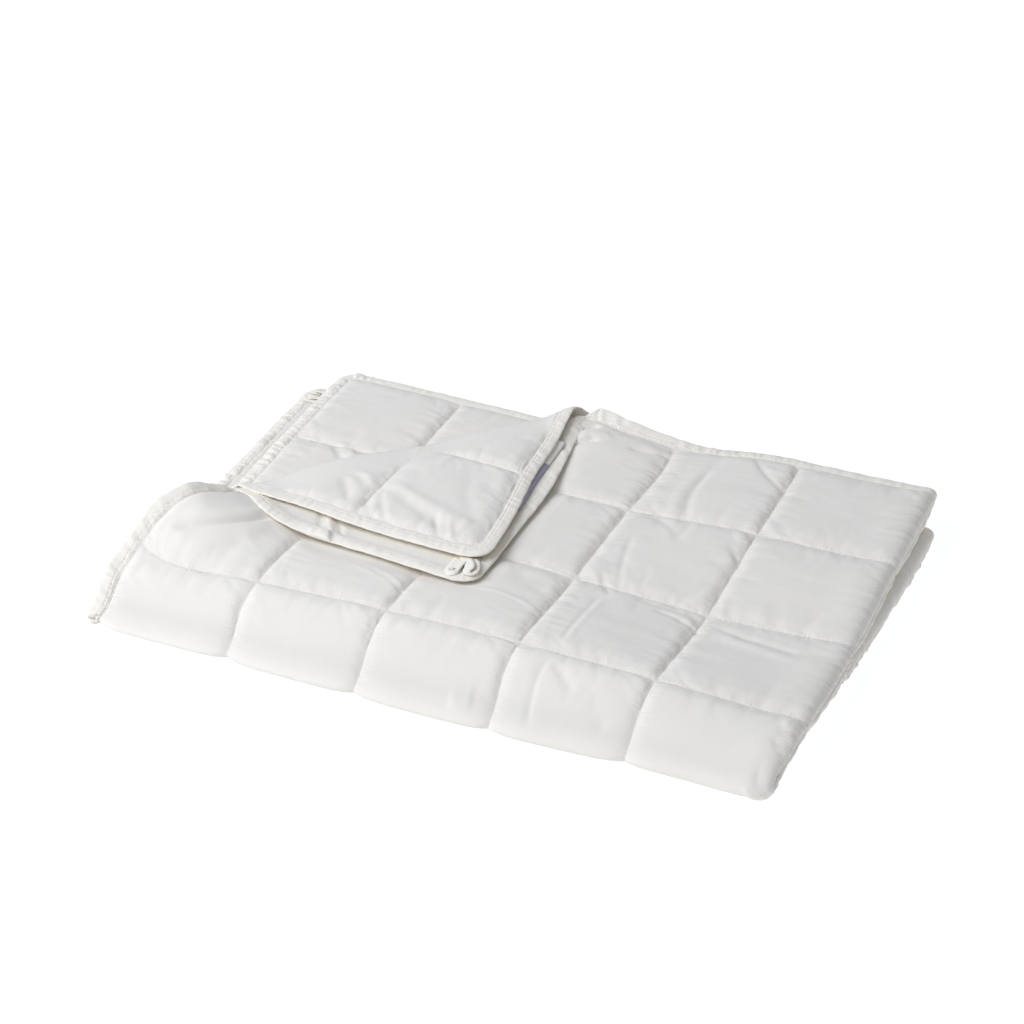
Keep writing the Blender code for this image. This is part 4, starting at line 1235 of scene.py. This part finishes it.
def ribbed_label(name, dark, light, roughness, pitch):
    """A narrow woven strip, with a rib at every pitch."""
    made, tree, shader, place_uv = cloth_material(name)
    two_tones(tree, shader, place_uv, {"Scale": 150.0, "Detail": 2.0}, dark, light)
    ribs = add_node(tree, "ShaderNodeTexWave", {"Vector": place_uv, "Scale": WAVE / pitch})
    relief = {"Height": ribs.outputs["Fac"], "Strength": 0.3, "Distance": 0.2 * MM}
    bump = add_node(tree, "ShaderNodeBump", relief)
    tree.links.new(bump.outputs["Normal"], shader.inputs["Normal"])
    set_inputs(shader, {"Roughness": roughness})
    return made


cotton = cotton_cover()
tape = twill_tape()
thread = plain_thread()
satin = ribbed_label("white satin", "#F0EBDD", "#FAF6EA", 0.45, 0.5 * MM)
ribbon = ribbed_label("blue grey woven ribbon", "#AEAAB6", "#BDB9C4", 0.75, 0.9 * MM)

# %% [markdown]
# ## Putting the pieces in place
# Each piece stands for one plain CAD solid and rides on the blanket's only body.

# %% Make the pieces
quilt = make_quilt(cotton)
binding = make_binding(tape)
seams = seam_stitches(thread)
edge_seams = binding_stitches(thread)
loop_top = make_loop("tape_loop_top", 1, tape)
loop_low = make_loop("tape_loop_low", -1, tape)
care = make_label("white_label", LABEL_START, LABEL_JOIN - 3 * GAP, satin)
name_strip = make_label("grey_label", LABEL_JOIN, LABEL_END, ribbon)

# %% Attach each piece, and hide the CAD solids they stand for
for piece, node, slot in (
    (quilt, "quilt", "cotton_cover"),
    (binding, "binding", "twill_binding"),
    (loop_top, "corner_loop_top", "twill_binding"),
    (loop_low, "corner_loop_low", "twill_binding"),
    (care, "care_label", "white_label"),
    (name_strip, "name_label", "grey_label"),
):
    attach(piece, "root")
    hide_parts(node)
for piece, slot in ((seams, "cotton_cover"), (edge_seams, "twill_binding")):
    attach(piece, "root")

# %% [markdown]
# ## Floor, light and camera
# The photograph has a white ground and soft light from the left and the front, with white all round that
# fills the shadows.

# %% Floor
STUDIO_WHITE = (0.83, 0.88, 1.0)
bm = bmesh.new()
bmesh.ops.create_grid(bm, x_segments=1, y_segments=1, size=6)
floor_mesh = bpy.data.meshes.new("floor")
bm.to_mesh(floor_mesh)
bm.free()
floor_finish, _, floor_shader = new_material("matt white floor")
set_inputs(floor_shader, {"Base Color": colour("#8A8A8A"), "Roughness": 0.9})
set_inputs(floor_shader, {"Emission Color": (0.9, 0.94, 1.0, 1), "Emission Strength": 0.95})
floor_mesh.materials.append(floor_finish)
floor = bpy.data.objects.new("floor", floor_mesh)
bpy.context.collection.objects.link(floor)

# %% Light
world = bpy.data.worlds.new("white studio")
world.use_nodes = True
set_inputs(world.node_tree.nodes["Background"], {"Color": (*STUDIO_WHITE, 1), "Strength": 0.42})
bpy.context.scene.world = world
bpy.context.scene.view_settings.view_transform = "Standard"
LIGHTS = [
    {"name": "left window", "at": (-1.6, -1.15, 2.0), "size": 2.0, "power": 74},
    {"name": "front fill", "at": (0.3, -2.4, 1.5), "size": 1.6, "power": 8},
]
for row in LIGHTS:
    lamp = bpy.data.lights.new(row["name"], "AREA")
    lamp.size = row["size"]
    lamp.energy = row["power"]
    lamp.color = STUDIO_WHITE
    stand = bpy.data.objects.new(row["name"], lamp)
    stand.location = row["at"]
    stand.rotation_euler = Vector(row["at"]).to_track_quat("Z", "Y").to_euler()
    bpy.context.collection.objects.link(stand)

# %% Camera
AZIMUTH = math.radians(24.42)
ELEVATION = math.radians(32.23)
DISTANCE = 2.131
TARGET = Vector((-0.0328, 0.05835, 0.02))
back = Vector((
    math.sin(AZIMUTH) * math.cos(ELEVATION),
    -math.cos(AZIMUTH) * math.cos(ELEVATION),
    math.sin(ELEVATION),
))
lens = bpy.data.cameras.new("camera")
lens.lens = 85
camera = bpy.data.objects.new("camera", lens)
camera.location = TARGET + back * DISTANCE
camera.rotation_euler = back.to_track_quat("Z", "Y").to_euler()
bpy.context.collection.objects.link(camera)
bpy.context.scene.camera = camera
